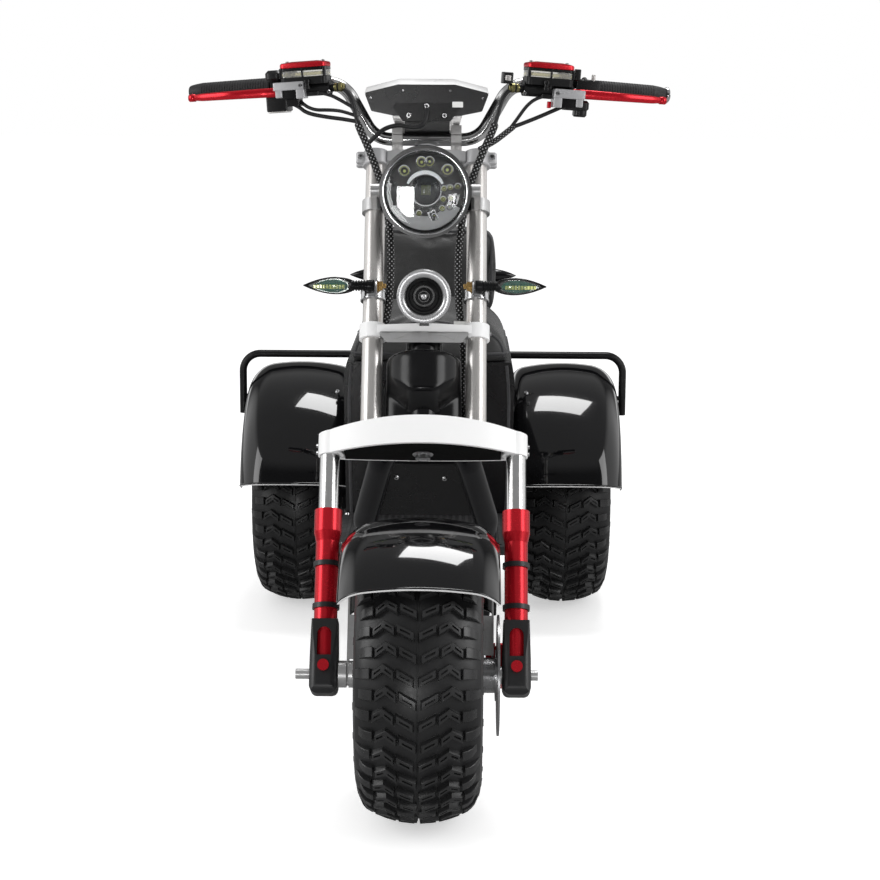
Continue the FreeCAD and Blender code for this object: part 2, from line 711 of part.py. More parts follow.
def crown():
    # The bowed plan cut by the arched side view
    end = LEG_PLACE + CROWN_END_RADIUS
    front_left = Vector(-LEG_PLACE, -CROWN_END_RADIUS, 0)
    front_right = Vector(LEG_PLACE, -CROWN_END_RADIUS, 0)
    back_left = Vector(-LEG_PLACE, CROWN_END_RADIUS, 0)
    back_right = Vector(LEG_PLACE, CROWN_END_RADIUS, 0)
    plan = Part.Wire([
        arc(front_left, Vector(0, -CROWN_FRONT, 0), front_right),
        arc(front_right, Vector(end, 0, 0), back_right),
        arc(back_right, Vector(0, CROWN_BACK, 0), back_left),
        arc(back_left, Vector(-end, 0, 0), front_left),
    ])
    height = CROWN_TOP + CROWN_ARCH + OVERRUN
    solid = Part.Face(plan).extrude(Vector(0, 0, height))
    wide = end + OVERRUN
    low_left, low_right = Vector(-wide, 0, CROWN_FOOT), Vector(wide, 0, CROWN_FOOT)
    high_left, high_right = Vector(-wide, 0, CROWN_TOP), Vector(wide, 0, CROWN_TOP)
    side = Part.Face(Part.Wire([
        arc(low_left, Vector(0, 0, CROWN_FOOT + CROWN_UNDER_ARCH), low_right),
        line(low_right, high_right),
        arc(high_right, Vector(0, 0, CROWN_TOP + CROWN_ARCH), high_left),
        line(high_left, low_left),
    ]))
    side.translate(Vector(0, -CROWN_FRONT - OVERRUN, 0))
    solid = solid.common(side.extrude(Vector(0, CROWN_FRONT + CROWN_BACK + OVERRUN * 2, 0)))
    for place in (-LEG_PLACE, LEG_PLACE):
        start, stop = Vector(place, 0, 0), Vector(place, 0, height)
        solid = solid.cut(rod(start, stop, STANCHION_RADIUS + SEAT_FIT))
    roof = CROWN_TOP - CROWN_ROOF
    pocket = Part.Face(plan.makeOffset2D(-CROWN_RIM, 0)).extrude(Vector(0, 0, roof))
    bosses = ((0, STEM_BOSS_RADIUS), (-LEG_PLACE, LEG_BOSS_RADIUS), (LEG_PLACE, LEG_BOSS_RADIUS))
    bosses = bosses + ((-TUBE_PLACE, TUBE_BOSS_RADIUS), (TUBE_PLACE, TUBE_BOSS_RADIUS))
    for place, radius in bosses:
        low, high = Vector(place, 0, -OVERRUN), Vector(place, 0, roof + OVERRUN)
        pocket = pocket.cut(rod(low, high, radius))
    solid = solid.cut(pocket)
    for place in (-TUBE_PLACE, TUBE_PLACE):
        start, stop = Vector(place, 0, CROWN_TOP - TUBE_SEAT_DEPTH), Vector(place, 0, height + OVERRUN)
        solid = solid.cut(rod(start, stop, TUBE_RADIUS + SEAT_FIT))
    stem = rod(Vector(0, 0, CROWN_TOP), Vector(0, 0, MID_YOKE_LEVEL + MID_YOKE_RING / 2), STEM_RADIUS)
    return to_fork(solid.fuse(stem))


def inner_tubes():
    foot = CROWN_TOP - TUBE_SEAT_DEPTH + SEAT_FIT
    top = TOP_YOKE_LEVEL + TOP_YOKE_HEIGHT / 2 + SEAT_FIT
    low, high = Vector(TUBE_PLACE, 0, foot), Vector(TUBE_PLACE, 0, top)
    return to_fork(pair(pipe(low, high, TUBE_RADIUS, TUBE_RADIUS - TUBE_WALL)))


def yoke(level, ring_height, plate, depth):
    # Two rings joined by a bridge that is widest at the middle
    half_ring, half_plate = ring_height / 2, plate / 2
    waist = YOKE_RING_RADIUS * YOKE_WAIST_SHARE
    points = [
        Vector(-TUBE_PLACE, -waist, level - half_plate), Vector(-half_ring, -depth / 2, level - half_plate),
        Vector(half_ring, -depth / 2, level - half_plate), Vector(TUBE_PLACE, -waist, level - half_plate),
        Vector(TUBE_PLACE, waist, level - half_plate), Vector(half_ring, depth / 2, level - half_plate),
        Vector(-half_ring, depth / 2, level - half_plate), Vector(-TUBE_PLACE, waist, level - half_plate),
    ]
    solid = outline_face(points).extrude(Vector(0, 0, plate))
    for place in (-TUBE_PLACE, TUBE_PLACE):
        low, high = Vector(place, 0, level - half_ring), Vector(place, 0, level + half_ring)
        solid = solid.fuse(rod(low, high, YOKE_RING_RADIUS))
    for place in (-TUBE_PLACE, TUBE_PLACE):
        low, high = Vector(place, 0, level - ring_height), Vector(place, 0, level + ring_height)
        solid = solid.cut(rod(low, high, TUBE_RADIUS + SEAT_FIT))
    return solid


def mid_yoke():
    solid = yoke(MID_YOKE_LEVEL, MID_YOKE_RING, MID_YOKE_PLATE, MID_YOKE_DEPTH)
    low = Vector(0, 0, MID_YOKE_LEVEL - MID_YOKE_RING)
    high = Vector(0, 0, MID_YOKE_LEVEL + MID_YOKE_RING)
    return to_fork(solid.cut(rod(low, high, STEM_RADIUS + SEAT_FIT)))


def top_yoke():
    solid = yoke(TOP_YOKE_LEVEL, TOP_YOKE_HEIGHT, TOP_YOKE_HEIGHT, TOP_YOKE_DEPTH)
    half = TOP_YOKE_HEIGHT / 2
    levels = (TOP_YOKE_LEVEL - half, TOP_YOKE_LEVEL + half)
    start = TUBE_PLACE + YOKE_RING_RADIUS - OVERRUN
    for side in (-1, 1):
        ends = sorted((side * start, side * (start + PINCH_LUG)))
        solid = solid.fuse(block(ends, (-PINCH_LUG, PINCH_LUG), levels))
    boss = rod(Vector(0, 0, levels[0]), Vector(0, 0, levels[1] + TOP_BOSS_HEIGHT), TOP_BOSS_RADIUS)
    return to_fork(solid.fuse(boss))


def handlebar_points():
    corner, end = bar_frame()
    knee = Vector(BAR_FLAT, BAR_LINE, BAR_HEIGHT)
    right = [knee, corner, end]
    left = [Vector(-point.x, point.y, point.z) for point in reversed(right)]
    return left + right


def handlebar():
    return bent_rod(handlebar_points(), BAR_RADIUS, BAR_BEND)


def riser():
    # A round post with a split clamp round the bar
    foot = TOP_YOKE_LEVEL + TOP_YOKE_HEIGHT / 2
    bar_level = (BAR_HEIGHT - TYRE_RADIUS) / math.cos(math.radians(RAKE_ANGLE))
    place = RISER_SPREAD / 2
    across = (place - RISER_WIDTH / 2, place + RISER_WIDTH / 2)
    along = (-RISER_DEPTH / 2, RISER_DEPTH / 2)
    lower = block(across, along, (bar_level - RISER_CLAMP, bar_level - RISER_SPLIT / 2))
    post = rod(Vector(place, 0, foot), Vector(place, 0, bar_level - RISER_CLAMP + OVERRUN), RISER_RADIUS)
    upper = block(across, along, (bar_level + RISER_SPLIT / 2, bar_level + RISER_CAP))
    bore = rod(Vector(0, 0, bar_level), Vector(RISER_SPREAD, 0, bar_level), BAR_RADIUS + SEAT_FIT)
    return Part.makeCompound([lower.fuse(post).cut(bore), upper.cut(bore)])


def risers():
    return Part.makeCompound([to_fork(pair(riser())), dash_bracket()])


def grip():
    corner, end = bar_frame()
    length = (end - corner).Length
    start, stop = Vector(length - GRIP_LENGTH, 0, 0), Vector(length + GRIP_END, 0, 0)
    solid = rod(start, stop, GRIP_RADIUS)
    bore = rod(start - ALONG_X * OVERRUN, Vector(length + SEAT_FIT, 0, 0), BAR_RADIUS + SEAT_FIT)
    return solid.cut(bore)


def grips():
    return pair(to_bar(grip()))


def master_cylinder():
    # Cylinder in front of the bar, its bar clamp, the tank's base and the mirror boss
    low, high = MASTER_SPAN
    start, end = Vector(low, -MASTER_AHEAD, MASTER_RISE), Vector(high, -MASTER_AHEAD, MASTER_RISE)
    body = rod(start, end, MASTER_RADIUS)
    banjo = rod(start - ALONG_X * BANJO_LENGTH, start + ALONG_X * OVERRUN, BANJO_RADIUS)
    perch = rod(Vector(PERCH_PLACE, 0, 0), Vector(PERCH_PLACE + PERCH_WIDTH, 0, 0), PERCH_RADIUS)
    neck = block(
        (PERCH_PLACE, PERCH_PLACE + PERCH_WIDTH), (-MASTER_AHEAD, 0), (-MASTER_RADIUS / 2, MASTER_RADIUS))
    half = TANK_DEPTH / 2
    base = block(TANK_SPAN, (-MASTER_AHEAD - half, -MASTER_AHEAD + half), (BASE_FOOT, TANK_FOOT))
    base = rounded(base, TANK_ROUND, ALONG_Z)
    middle = (TANK_SPAN[0] + TANK_SPAN[1]) / 2
    seat = Vector(middle, -MASTER_AHEAD, MASTER_RISE)
    feed = rod(seat, Vector(middle, -MASTER_AHEAD, TANK_FOOT), MASTER_RADIUS)
    boss_place = PERCH_PLACE + PERCH_WIDTH / 2
    boss_low, boss_high = Vector(boss_place, 0, 0), Vector(boss_place, 0, MIRROR_BOSS_HEIGHT)
    boss = rod(boss_low, boss_high, MIRROR_BOSS_RADIUS)
    solid = body.fuse([banjo, perch, neck, base, feed, boss])
    solid = solid.cut(rod(Vector(0, 0, 0), Vector(MASTER_SPAN[1], 0, 0), BAR_RADIUS + SEAT_FIT))
    floor = Vector(boss_place, 0, MIRROR_BOSS_HEIGHT - MIRROR_THREAD_DEPTH)
    solid = solid.cut(rod(floor, boss_high + ALONG_Z * OVERRUN, MIRROR_THREAD_RADIUS))
    return solid


def master_cylinders():
    return pair(to_bar(master_cylinder()))


def reservoirs():
    # A clear tank with a lid, seated on the master cylinder's base
    half = TANK_DEPTH / 2
    along = (-MASTER_AHEAD - half, -MASTER_AHEAD + half)
    tank = rounded(block(TANK_SPAN, along, (TANK_FOOT, LID_FOOT)), TANK_ROUND, ALONG_Z)
    lid = rounded(block(TANK_SPAN, along, (LID_FOOT, LID_TOP)), TANK_ROUND, ALONG_Z)
    return pair(to_bar(Part.makeCompound([tank, lid])))


def brake_lever():
    # A flat blade with a ball at its end, in front of the grip
    start = MASTER_SPAN[1] + SEAT_FIT
    points = []
    for along, ahead in LEVER_SHARES:
        reach = MASTER_AHEAD + LEVER_REACH * ahead
        points.append(Vector(start + LEVER_LENGTH * along, -reach, -LEVER_DROP))
    blade = outline_face(points).extrude(Vector(0, 0, LEVER_THICKNESS))
    ahead = MASTER_AHEAD + LEVER_REACH * LEVER_TIP_SHARE
    tip = Vector(start + LEVER_LENGTH, -ahead, LEVER_THICKNESS / 2 - LEVER_DROP)
    return blade.fuse(Part.makeSphere(LEVER_BALL, tip))


def brake_levers():
    return pair(to_bar(brake_lever()))


def switch_pods():
    pod = block(POD_SPAN, (-POD_DEPTH / 2, POD_DEPTH / 2), POD_LEVELS)
    pod = rounded(pod, TANK_ROUND, ALONG_X)
    bore = rod(Vector(0, 0, 0), Vector(POD_SPAN[1] + OVERRUN, 0, 0), BAR_RADIUS + SEAT_FIT)
    return pair(to_bar(pod.cut(bore)))


def dash():
    points = []
    for across, up in DASH_SHARES:
        points.append(Vector(DASH_WIDTH * across, BAR_LINE - DASH_AHEAD, DASH_FOOT + DASH_HEIGHT * up))
    housing = outline_face(points).extrude(Vector(0, DASH_DEPTH, 0))
    housing = rounded(housing, DASH_ROUND, ALONG_Y)
    return housing


def dash_bracket():
    # A tapered foot between the riser caps and the dash
    top = DASH_FOOT - SEAT_FIT
    bar_level = (BAR_HEIGHT - TYRE_RADIUS) / math.cos(math.radians(RAKE_ANGLE))
    cap = on_fork(bar_level + RISER_CAP, 0, RISER_DEPTH / 2)
    low = cap.z + SEAT_FIT
    half_low, half_top = RISER_SPREAD / 2, DASH_BRACKET_WIDTH / 2
    front = cap.y
    points = [
        Vector(-half_low, front, low), Vector(half_low, front, low),
        Vector(half_top, front, top), Vector(-half_top, front, top),
    ]
    return outline_face(points).extrude(Vector(0, DASH_BRACKET_DEPTH, 0))


def lamp_bowl():
    # Turned about the lamp's own axis: rim, ledge for the lens, reflector's hollow and bowl
    mouth = LAMP_RADIUS - LAMP_BEZEL
    depth = LAMP_LENS_RECESS + LAMP_LENS_DEPTH
    points = [
        Vector(LAMP_RADIUS, 0, 0), Vector(LAMP_RADIUS, LAMP_RIM_DEPTH, 0),
        Vector(LAMP_BACK_RADIUS, LAMP_RIM_DEPTH + LAMP_BOWL_DEPTH, 0),
        Vector(0, LAMP_RIM_DEPTH + LAMP_BOWL_DEPTH, 0), Vector(0, LAMP_FLOOR, 0),
        Vector(LAMP_FLOOR_RADIUS, LAMP_FLOOR, 0), Vector(mouth - LAMP_LEDGE, depth, 0),
        Vector(mouth, depth, 0), Vector(mouth, 0, 0),
    ]
    bowl = outline_face(points).revolve(NAUGHT, ALONG_Y, FULL_ANGLE)
    bowl.translate(Vector(0, LAMP_FRONT, LAMP_HEIGHT))
    return bowl


def lamp_arm():
    # A ring on the inner tube and an arm that reaches the lug at the lamp's side
    lean = math.radians(RAKE_ANGLE)
    lug_y = LAMP_FRONT + LAMP_LUG_BACK
    rise = LAMP_HEIGHT - TYRE_RADIUS
    level = lug_y * math.sin(lean) + rise * math.cos(lean)
    ahead = rise * math.sin(lean) - lug_y * math.cos(lean)
    half = LAMP_ARM_HEIGHT / 2
    low, high = Vector(TUBE_PLACE, 0, level - half), Vector(TUBE_PLACE, 0, level + half)
    collar = pipe(low, high, YOKE_RING_RADIUS, TUBE_RADIUS + SEAT_FIT)
    across = (TUBE_PLACE - LAMP_ARM_WIDTH / 2, TUBE_PLACE + LAMP_ARM_WIDTH / 2)
    arm = block(across, (-ahead, -TUBE_RADIUS - SEAT_FIT - OVERRUN), (level - half, level + half))
    lug = rod(
        Vector(LAMP_RADIUS - LAMP_BEZEL * 2, lug_y, LAMP_HEIGHT),
        Vector(TUBE_PLACE + LAMP_ARM_WIDTH / 2, lug_y, LAMP_HEIGHT), LAMP_LUG_RADIUS)
    return to_fork(collar.fuse(arm)).fuse(lug)


def headlamp_shell():
    arm = lamp_arm()
    bowl = lamp_bowl()
    return bowl.fuse([arm, mirrored(arm)])


def dome(radius, level, rise, depth):
    # A round plug about the lamp's axis, with a spherical front that rises ahead of a level
    bend = (radius * radius + rise * rise) / (rise * 2)
    plug = rod(Vector(0, level - rise, 0), Vector(0, level + depth, 0), radius)
    return plug.common(Part.makeSphere(bend, Vector(0, level - rise + bend, 0)))


def headlamp_lens():
    # A domed cover on the ledge, and the projector that stands on the bowl's floor
    edge = LAMP_RADIUS - LAMP_BEZEL - SEAT_FIT
    depth = LAMP_LENS_DEPTH - SEAT_FIT
    cover = dome(edge, LAMP_LENS_RECESS, LAMP_LENS_DOME, depth)
    hollow = LAMP_LENS_RECESS + LAMP_LENS_WALL
    cover = cover.cut(dome(edge - LAMP_LENS_WALL, hollow, LAMP_LENS_DOME, depth))
    floor = LAMP_FLOOR - SEAT_FIT
    height = floor - PROJECTOR_FACE
    barrel = Part.makeCone(
        PROJECTOR_FOOT_RADIUS, PROJECTOR_RADIUS, height, Vector(0, floor, 0), -ALONG_Y)
    projector = barrel.fuse(dome(PROJECTOR_RADIUS, PROJECTOR_FACE, PROJECTOR_DOME, OVERRUN))
    both = Part.makeCompound([cover, projector])
    both.translate(Vector(0, LAMP_FRONT, LAMP_HEIGHT))
    return both


def horn():
    centre = Vector(0, HORN_FRONT, HORN_HEIGHT)
    back = centre + ALONG_Y * HORN_DEPTH
    shell = rod(centre, back, HORN_RADIUS)
    mouth = Part.makeCone(HORN_CONE_RADIUS, HORN_CONE_DEPTH / 2, HORN_CONE_DEPTH, centre, ALONG_Y)
    shell = shell.cut(mouth)
    # The strip stands on the front of the middle yoke and a stud joins it to the horn
    face = -MID_YOKE_DEPTH / 2 - SEAT_FIT
    lean = math.radians(RAKE_ANGLE)
    level = (HORN_HEIGHT - TYRE_RADIUS + face * math.sin(lean)) / math.cos(lean)
    half = HORN_STRIP / 2
    levels = (MID_YOKE_LEVEL - MID_YOKE_PLATE / 2, level + half)
    strip = to_fork(block((-half, half), (face - HORN_STRIP_THICKNESS, face), levels))
    meet = on_fork(level, 0, face)
    stud = rod(back, Vector(0, meet.y, HORN_HEIGHT), SIGNAL_STEM_RADIUS)
    return shell.fuse([strip, stud])


def signal(tip, behind, height):
    # A leaf-shaped lamp on a ribbed stem that points outward
    root = tip - SIGNAL_BODY
    half = SIGNAL_HEIGHT / 2
    belly = root + SIGNAL_BODY * SIGNAL_BELLY_SHARE
    front = behind - SIGNAL_DEPTH / 2
    start, end = Vector(root, front, height), Vector(tip, front, height)
    leaf = Part.Face(Part.Wire([
        arc(start, Vector(belly, front, height + half), end),
        arc(end, Vector(belly, front, height - half), start),
    ])).extrude(Vector(0, SIGNAL_DEPTH, 0))
    low = Vector(root - SIGNAL_STEM, behind, height)
    stem = rod(low, Vector(root + SIGNAL_STEM_RADIUS, behind, height), SIGNAL_STEM_RADIUS)
    return leaf.fuse(stem)


def front_signal():
    # Clamp on the tube, and a block in front of it that lifts the lamp above the clamp
    seat = on_fork(SIGNAL_LEVEL, TUBE_PLACE, 0)
    half = SIGNAL_RING_HEIGHT / 2
    collar = to_fork(pipe(
        Vector(TUBE_PLACE, 0, SIGNAL_LEVEL - half), Vector(TUBE_PLACE, 0, SIGNAL_LEVEL + half),
        SIGNAL_RING_RADIUS, TUBE_RADIUS + SEAT_FIT))
    front = seat.y - SIGNAL_RING_RADIUS - SIGNAL_BLOCK / 2
    level = seat.z + SIGNAL_RISE
    lamp = signal(SIGNAL_TIP, front, level)
    half_block = SIGNAL_BLOCK / 2
    stand = block(
        (TUBE_PLACE - half_block, TUBE_PLACE + half_block), (front - half_block, front + half_block),
        (seat.z - half_block, level + half_block))
    foot = block(
        (TUBE_PLACE - half_block, TUBE_PLACE + half_block), (front, seat.y - TUBE_RADIUS),
        (seat.z - half_block, seat.z + half_block))
    tube = to_fork(rod(
        Vector(TUBE_PLACE, 0, SIGNAL_LEVEL - SIGNAL_RING_HEIGHT * 2),
        Vector(TUBE_PLACE, 0, SIGNAL_LEVEL + SIGNAL_RING_HEIGHT * 2), TUBE_RADIUS + SEAT_FIT))
    nut = rod(
        Vector(TUBE_PLACE - half_block - SIGNAL_NUT_LENGTH, front, level),
        Vector(TUBE_PLACE, front, level), SIGNAL_NUT_RADIUS)
    return collar.fuse([stand, foot, lamp, nut]).cut(tube)


def front_signals():
    return pair(front_signal())


def corner_centre(half, bend, crown, radius):
    # Height of the corner's centre, whose circle touches the side and the crowned top
    return radius - crown + math.sqrt((crown - bend) ** 2 - (half - bend) ** 2)


def fender_side(middle, side, half, bend, crown, radius, skirt, inset):
    # From the skirt up the side and round the corner, and the point where the top begins
    centre = corner_centre(half, bend, crown, radius)
    reach, bend = half - bend, bend - inset
    lean = math.atan2(reach, centre - radius + crown)
    start = math.pi / 2
    if skirt > centre:
        start = math.acos((skirt - centre) / bend)

    def spot(angle):
        return Vector(middle + side * (reach + bend * math.sin(angle)), 0, centre + bend * math.cos(angle))

    edges = [arc(spot(start), spot((start + lean) / 2), spot(lean))]
    foot = spot(start)
    if skirt < centre:
        foot = Vector(foot.x, 0, skirt)
        edges.append(line(foot, spot(start)))
    return edges, foot, spot(lean)


def fender_section(left, right, left_round, right_round, crown, radius, skirt):
    # Closed outline of the wall, from one skirt over the crowned top to the other
    middle, half = (left + right) / 2, (right - left) / 2
    edges, feet = [], []
    for inset in (0, FENDER_WALL):
        rest = (crown, radius, skirt, inset)
        one, left_foot, left_top = fender_side(middle, -1, half, left_round, *rest)
        other, right_foot, right_top = fender_side(middle, 1, half, right_round, *rest)
        edges = edges + one + other
        edges.append(arc(left_top, Vector(middle, 0, radius - inset), right_top))
        feet.append((left_foot, right_foot))
    for outer, inner in zip(*feet):
        edges.append(line(outer, inner))
    return Part.Face(Part.Wire(Part.__sortEdges__(edges)))


def swept_fender(section, lip, end, axle):
    # The section points up, so it is first leaned forward to its front lip
    section.rotate(NAUGHT, ALONG_X, HALF_ANGLE / 2 - lip)
    solid = section.revolve(NAUGHT, -ALONG_X, end - lip)
    solid.translate(Vector(0, axle, TYRE_RADIUS))
    return solid


def front_fender():
    half = FRONT_FENDER_WIDTH / 2
    section = fender_section(
        -half, half, FRONT_FENDER_ROUND, FRONT_FENDER_ROUND, FRONT_FENDER_CROWN, FRONT_FENDER_RADIUS,
        FRONT_FENDER_SKIRT)
    return swept_fender(section, FRONT_FENDER_LIP_ANGLE, FRONT_FENDER_END_ANGLE, 0)


def stay_top():
    # Where the stay's outer face meets the inside of the fender's shoulder
    half = FRONT_FENDER_WIDTH / 2
    centre = corner_centre(half, FRONT_FENDER_ROUND, FRONT_FENDER_CROWN, FRONT_FENDER_RADIUS)
    bend = FRONT_FENDER_ROUND - FENDER_WALL
    reach = STAY_PLACE + STAY_THICKNESS - half + FRONT_FENDER_ROUND
    return centre + math.sqrt(bend * bend - reach * reach) - SEAT_FIT


def fender_stay():
    # A steel angle beside the tyre from the axle to the fender
    half = STAY_DEPTH / 2
    top = math.sqrt(stay_top() * stay_top() - half * half)
    web = block(
        (STAY_PLACE, STAY_PLACE + STAY_THICKNESS), (-half, half), (STAY_FOOT, top))
    flange = block(
        (STAY_PLACE - STAY_FLANGE, STAY_PLACE + OVERRUN),
        (-half, STAY_THICKNESS - half), STAY_FLANGE_SPAN)
    hole = rod(Vector(0, 0, 0), Vector(LEG_PLACE, 0, 0), AXLE_RADIUS + SEAT_FIT)
    return web.fuse(flange).cut(hole)


def axle_rod():
    # The axle with the collars that space the hub, the stay and the feet
    end = LEG_PLACE + FOOT_WIDTH / 2
    axle = rod(Vector(-end - AXLE_STUB, 0, 0), Vector(end + AXLE_STUB_LEFT, 0, 0), AXLE_RADIUS)
    face = LEG_PLACE - FOOT_WIDTH / 2 - SEAT_FIT
    hub = FRONT_HUB_WIDTH / 2 + NUT_GAP
    outside = STAY_PLACE + STAY_THICKNESS + SEAT_FIT
    beside = DISC_PLACE + DISC_THICKNESS + NUT_GAP
    inner = rod(Vector(-hub, 0, 0), Vector(SEAT_FIT - STAY_PLACE, 0, 0), HUB_COLLAR_RADIUS)
    outer = rod(Vector(-outside, 0, 0), Vector(-face, 0, 0), HUB_COLLAR_RADIUS)
    left = rod(Vector(beside, 0, 0), Vector(face, 0, 0), FOOT_COLLAR_RADIUS)
    return axle.fuse([inner, outer, left])


def front_axle():
    # The axle, and the two stays that stand on it; the left one opens round the disc's hub
    hub = rod(Vector(0, 0, 0), Vector(LEG_PLACE, 0, 0), HUB_RADIUS + NUT_GAP + STAY_THICKNESS)
    left = fender_stay().cut(hub)
    return to_fork(Part.makeCompound([axle_rod(), left, mirrored(fender_stay())]))


def front_caliper():
    # Two halves bridged over the rim of the disc, and the plate that bolts it to the foot
    middle = DISC_PLACE + DISC_THICKNESS / 2
    half = CALIPER_WIDTH / 2
    body = block((middle - half, middle + half), CALIPER_SPAN, CALIPER_LEVELS)
    body = rounded(body, FOOT_ROUND / 2, ALONG_X)
    slot_start = DISC_PLACE - CALIPER_GAP
    slot_stop = DISC_PLACE + DISC_THICKNESS + CALIPER_GAP
    body = body.cut(rod(Vector(slot_start, 0, 0), Vector(slot_stop, 0, 0), DISC_RADIUS + CALIPER_TIP_GAP))
    plate = block(
        (ADAPTER_PLACE, ADAPTER_PLACE + ADAPTER_THICKNESS),
        (FOOT_DEPTH / 2 + SEAT_FIT, CALIPER_SPAN[0] + OVERRUN), CALIPER_LEVELS)
    return to_fork(body.fuse(plate))


def head_tube():
    low, high = Vector(0, 0, HEAD_TUBE_FOOT), Vector(0, 0, HEAD_TUBE_TOP)
    return to_fork(pipe(low, high, HEAD_TUBE_RADIUS, STEM_RADIUS + SEAT_FIT))


def above_head(span):
    return [HEAD_TUBE_FOOT + level for level in span]


def neck_cover():
    # Hood round the head tube: a V below its shoulders in front view, curved in plan
    low, waist, high = above_head(COVER_SPAN)
    bore = HEAD_TUBE_RADIUS + SEAT_FIT
    top = COVER_TOP_WIDTH / 2
    wide = COVER_RADIUS + OVERRUN
    front = -COVER_RADIUS - OVERRUN
    points = [
        Vector(bore, front, low), Vector(wide, front, waist),
        Vector(wide, front, high - COVER_SHOULDER * 2), Vector(top, front, high - COVER_CHAMFER),
        Vector(top - COVER_SHOULDER, front, high),
    ]
    points = points + [Vector(-point.x, point.y, point.z) for point in reversed(points)]
    face = outline_face(points)
    solid = face.extrude(Vector(0, COVER_DEPTH, 0))
    floor, roof = Vector(0, 0, low - OVERRUN), Vector(0, 0, high + OVERRUN)
    solid = solid.common(rod(floor, roof, COVER_RADIUS))
    solid = solid.cut(rod(floor, roof, bore))
    slot = GUSSET_WIDTH / 2 + SEAT_FIT
    return to_fork(solid.cut(block((-slot, slot), (0, COVER_RADIUS), (floor.z, roof.z))))


def rail_points(side):
    start = on_fork(NECK_START[2], NECK_START[0], NECK_START[1])
    points = [
        start, Vector(*NECK_POINT), Vector(*KNEE_POINT),
        Vector(RAIL_PLACE, RAIL_START, RAIL_HEIGHT), Vector(RAIL_PLACE, RAIL_REAR, RAIL_HEIGHT),
        Vector(RAIL_PLACE, RAIL_REAR, TAIL_HEIGHT), Vector(RAIL_PLACE, TAIL_END, TAIL_HEIGHT),
    ]
    return [Vector(side * point.x, point.y, point.z) for point in points]


def frame():
    solid = head_tube()
    gusset = block(
        (-GUSSET_WIDTH / 2, GUSSET_WIDTH / 2), (HEAD_TUBE_RADIUS - OVERRUN, GUSSET_DEPTH + RAIL_RADIUS),
        above_head(GUSSET_SPAN))
    apron = block(
        (-APRON_HALF_WIDTH, APRON_HALF_WIDTH), (APRON_PLACE, APRON_PLACE + APRON_THICKNESS),
        above_head(APRON_SPAN))
    pieces = [to_fork(gusset), to_fork(apron)]
    for side in (-1, 1):
        pieces.append(bent_rod(rail_points(side), RAIL_RADIUS, RAIL_BEND))
    for place in CROSS_PLACES:
        pieces.append(cross_bar(RAIL_PLACE, place, RAIL_HEIGHT, CROSS_RADIUS))
    ear_place = ARM_SPREAD / 2 + EYE_WIDTH / 2 + NUT_GAP
    pieces.append(cross_bar(ear_place + EAR_THICKNESS, ARM_FRONT, ARM_HEIGHT, PIVOT_RADIUS))
    pieces.append(cross_bar(SHOCK_BAR_HALF, WHEELBASE, SHOCK_TOP, SHOCK_BAR_RADIUS))
    for side in (-1, 1):
        ear = sorted((side * ear_place, side * (ear_place + EAR_THICKNESS)))
        along = (ARM_FRONT - PIVOT_RADIUS, ARM_FRONT + PIVOT_RADIUS)
        pieces.append(block(ear, along, (ARM_HEIGHT - PIVOT_RADIUS, RAIL_HEIGHT)))
        arm = sorted((side * RAIL_PLACE, side * (REAR_FENDER_INNER - SEAT_FIT)))
        for behind, above in BRACKET_SPOTS:
            place, height = WHEELBASE + behind, TAIL_HEIGHT + above
            half, thick = BRACKET_WIDTH / 2, BRACKET_THICKNESS / 2
            pieces.append(block(arm, (place - half, place + half), (height - thick, height + thick)))
    return solid.fuse(pieces)


def cross_bar(half, place, height, radius):
    return rod(Vector(-half, place, height), Vector(half, place, height), radius)


def front_panel():
    # Sheet between the two down tubes, in the plane of their axes
    neck, knee = Vector(*NECK_POINT), Vector(*KNEE_POINT)
    along = (knee - neck).normalize()
    top, foot = neck + along * PANEL_MARGIN, knee - along * PANEL_MARGIN
    run = math.hypot(knee.y - neck.y, knee.z - neck.z)
    gap = RAIL_RADIUS / math.cos(math.atan2(knee.x - neck.x, run)) + SEAT_FIT
    points = [
        Vector(-top.x + gap, top.y, top.z), Vector(top.x - gap, top.y, top.z),
        Vector(foot.x - gap, foot.y, foot.z), Vector(-foot.x + gap, foot.y, foot.z),
    ]
    face = outline_face(points)
    normal = (points[1] - points[0]).cross(points[2] - points[1]).normalize()
    face.translate(normal * (-PANEL_THICKNESS / 2))
    return face.extrude(normal * PANEL_THICKNESS)


def deck():
    foot = RAIL_HEIGHT + RAIL_RADIUS + SEAT_FIT
    plate = block((-DECK_HALF_WIDTH, DECK_HALF_WIDTH), (DECK_FRONT, DECK_BACK), (foot, foot + DECK_THICKNESS))
    plate = rounded(plate, DECK_ROUND, ALONG_Z)
    for side in (-1, 1):
        plate = plate.cut(bent_rod(rail_points(side), RAIL_RADIUS + SEAT_FIT, RAIL_BEND))
    return plate


def battery_box():
    top = RAIL_HEIGHT - RAIL_RADIUS - SEAT_FIT
    solid = block(
        (-BATTERY_HALF_WIDTH, BATTERY_HALF_WIDTH), (BATTERY_FRONT, BATTERY_BACK), (BATTERY_FOOT, top))
    return rounded(solid, TANK_ROUND, ALONG_Y)


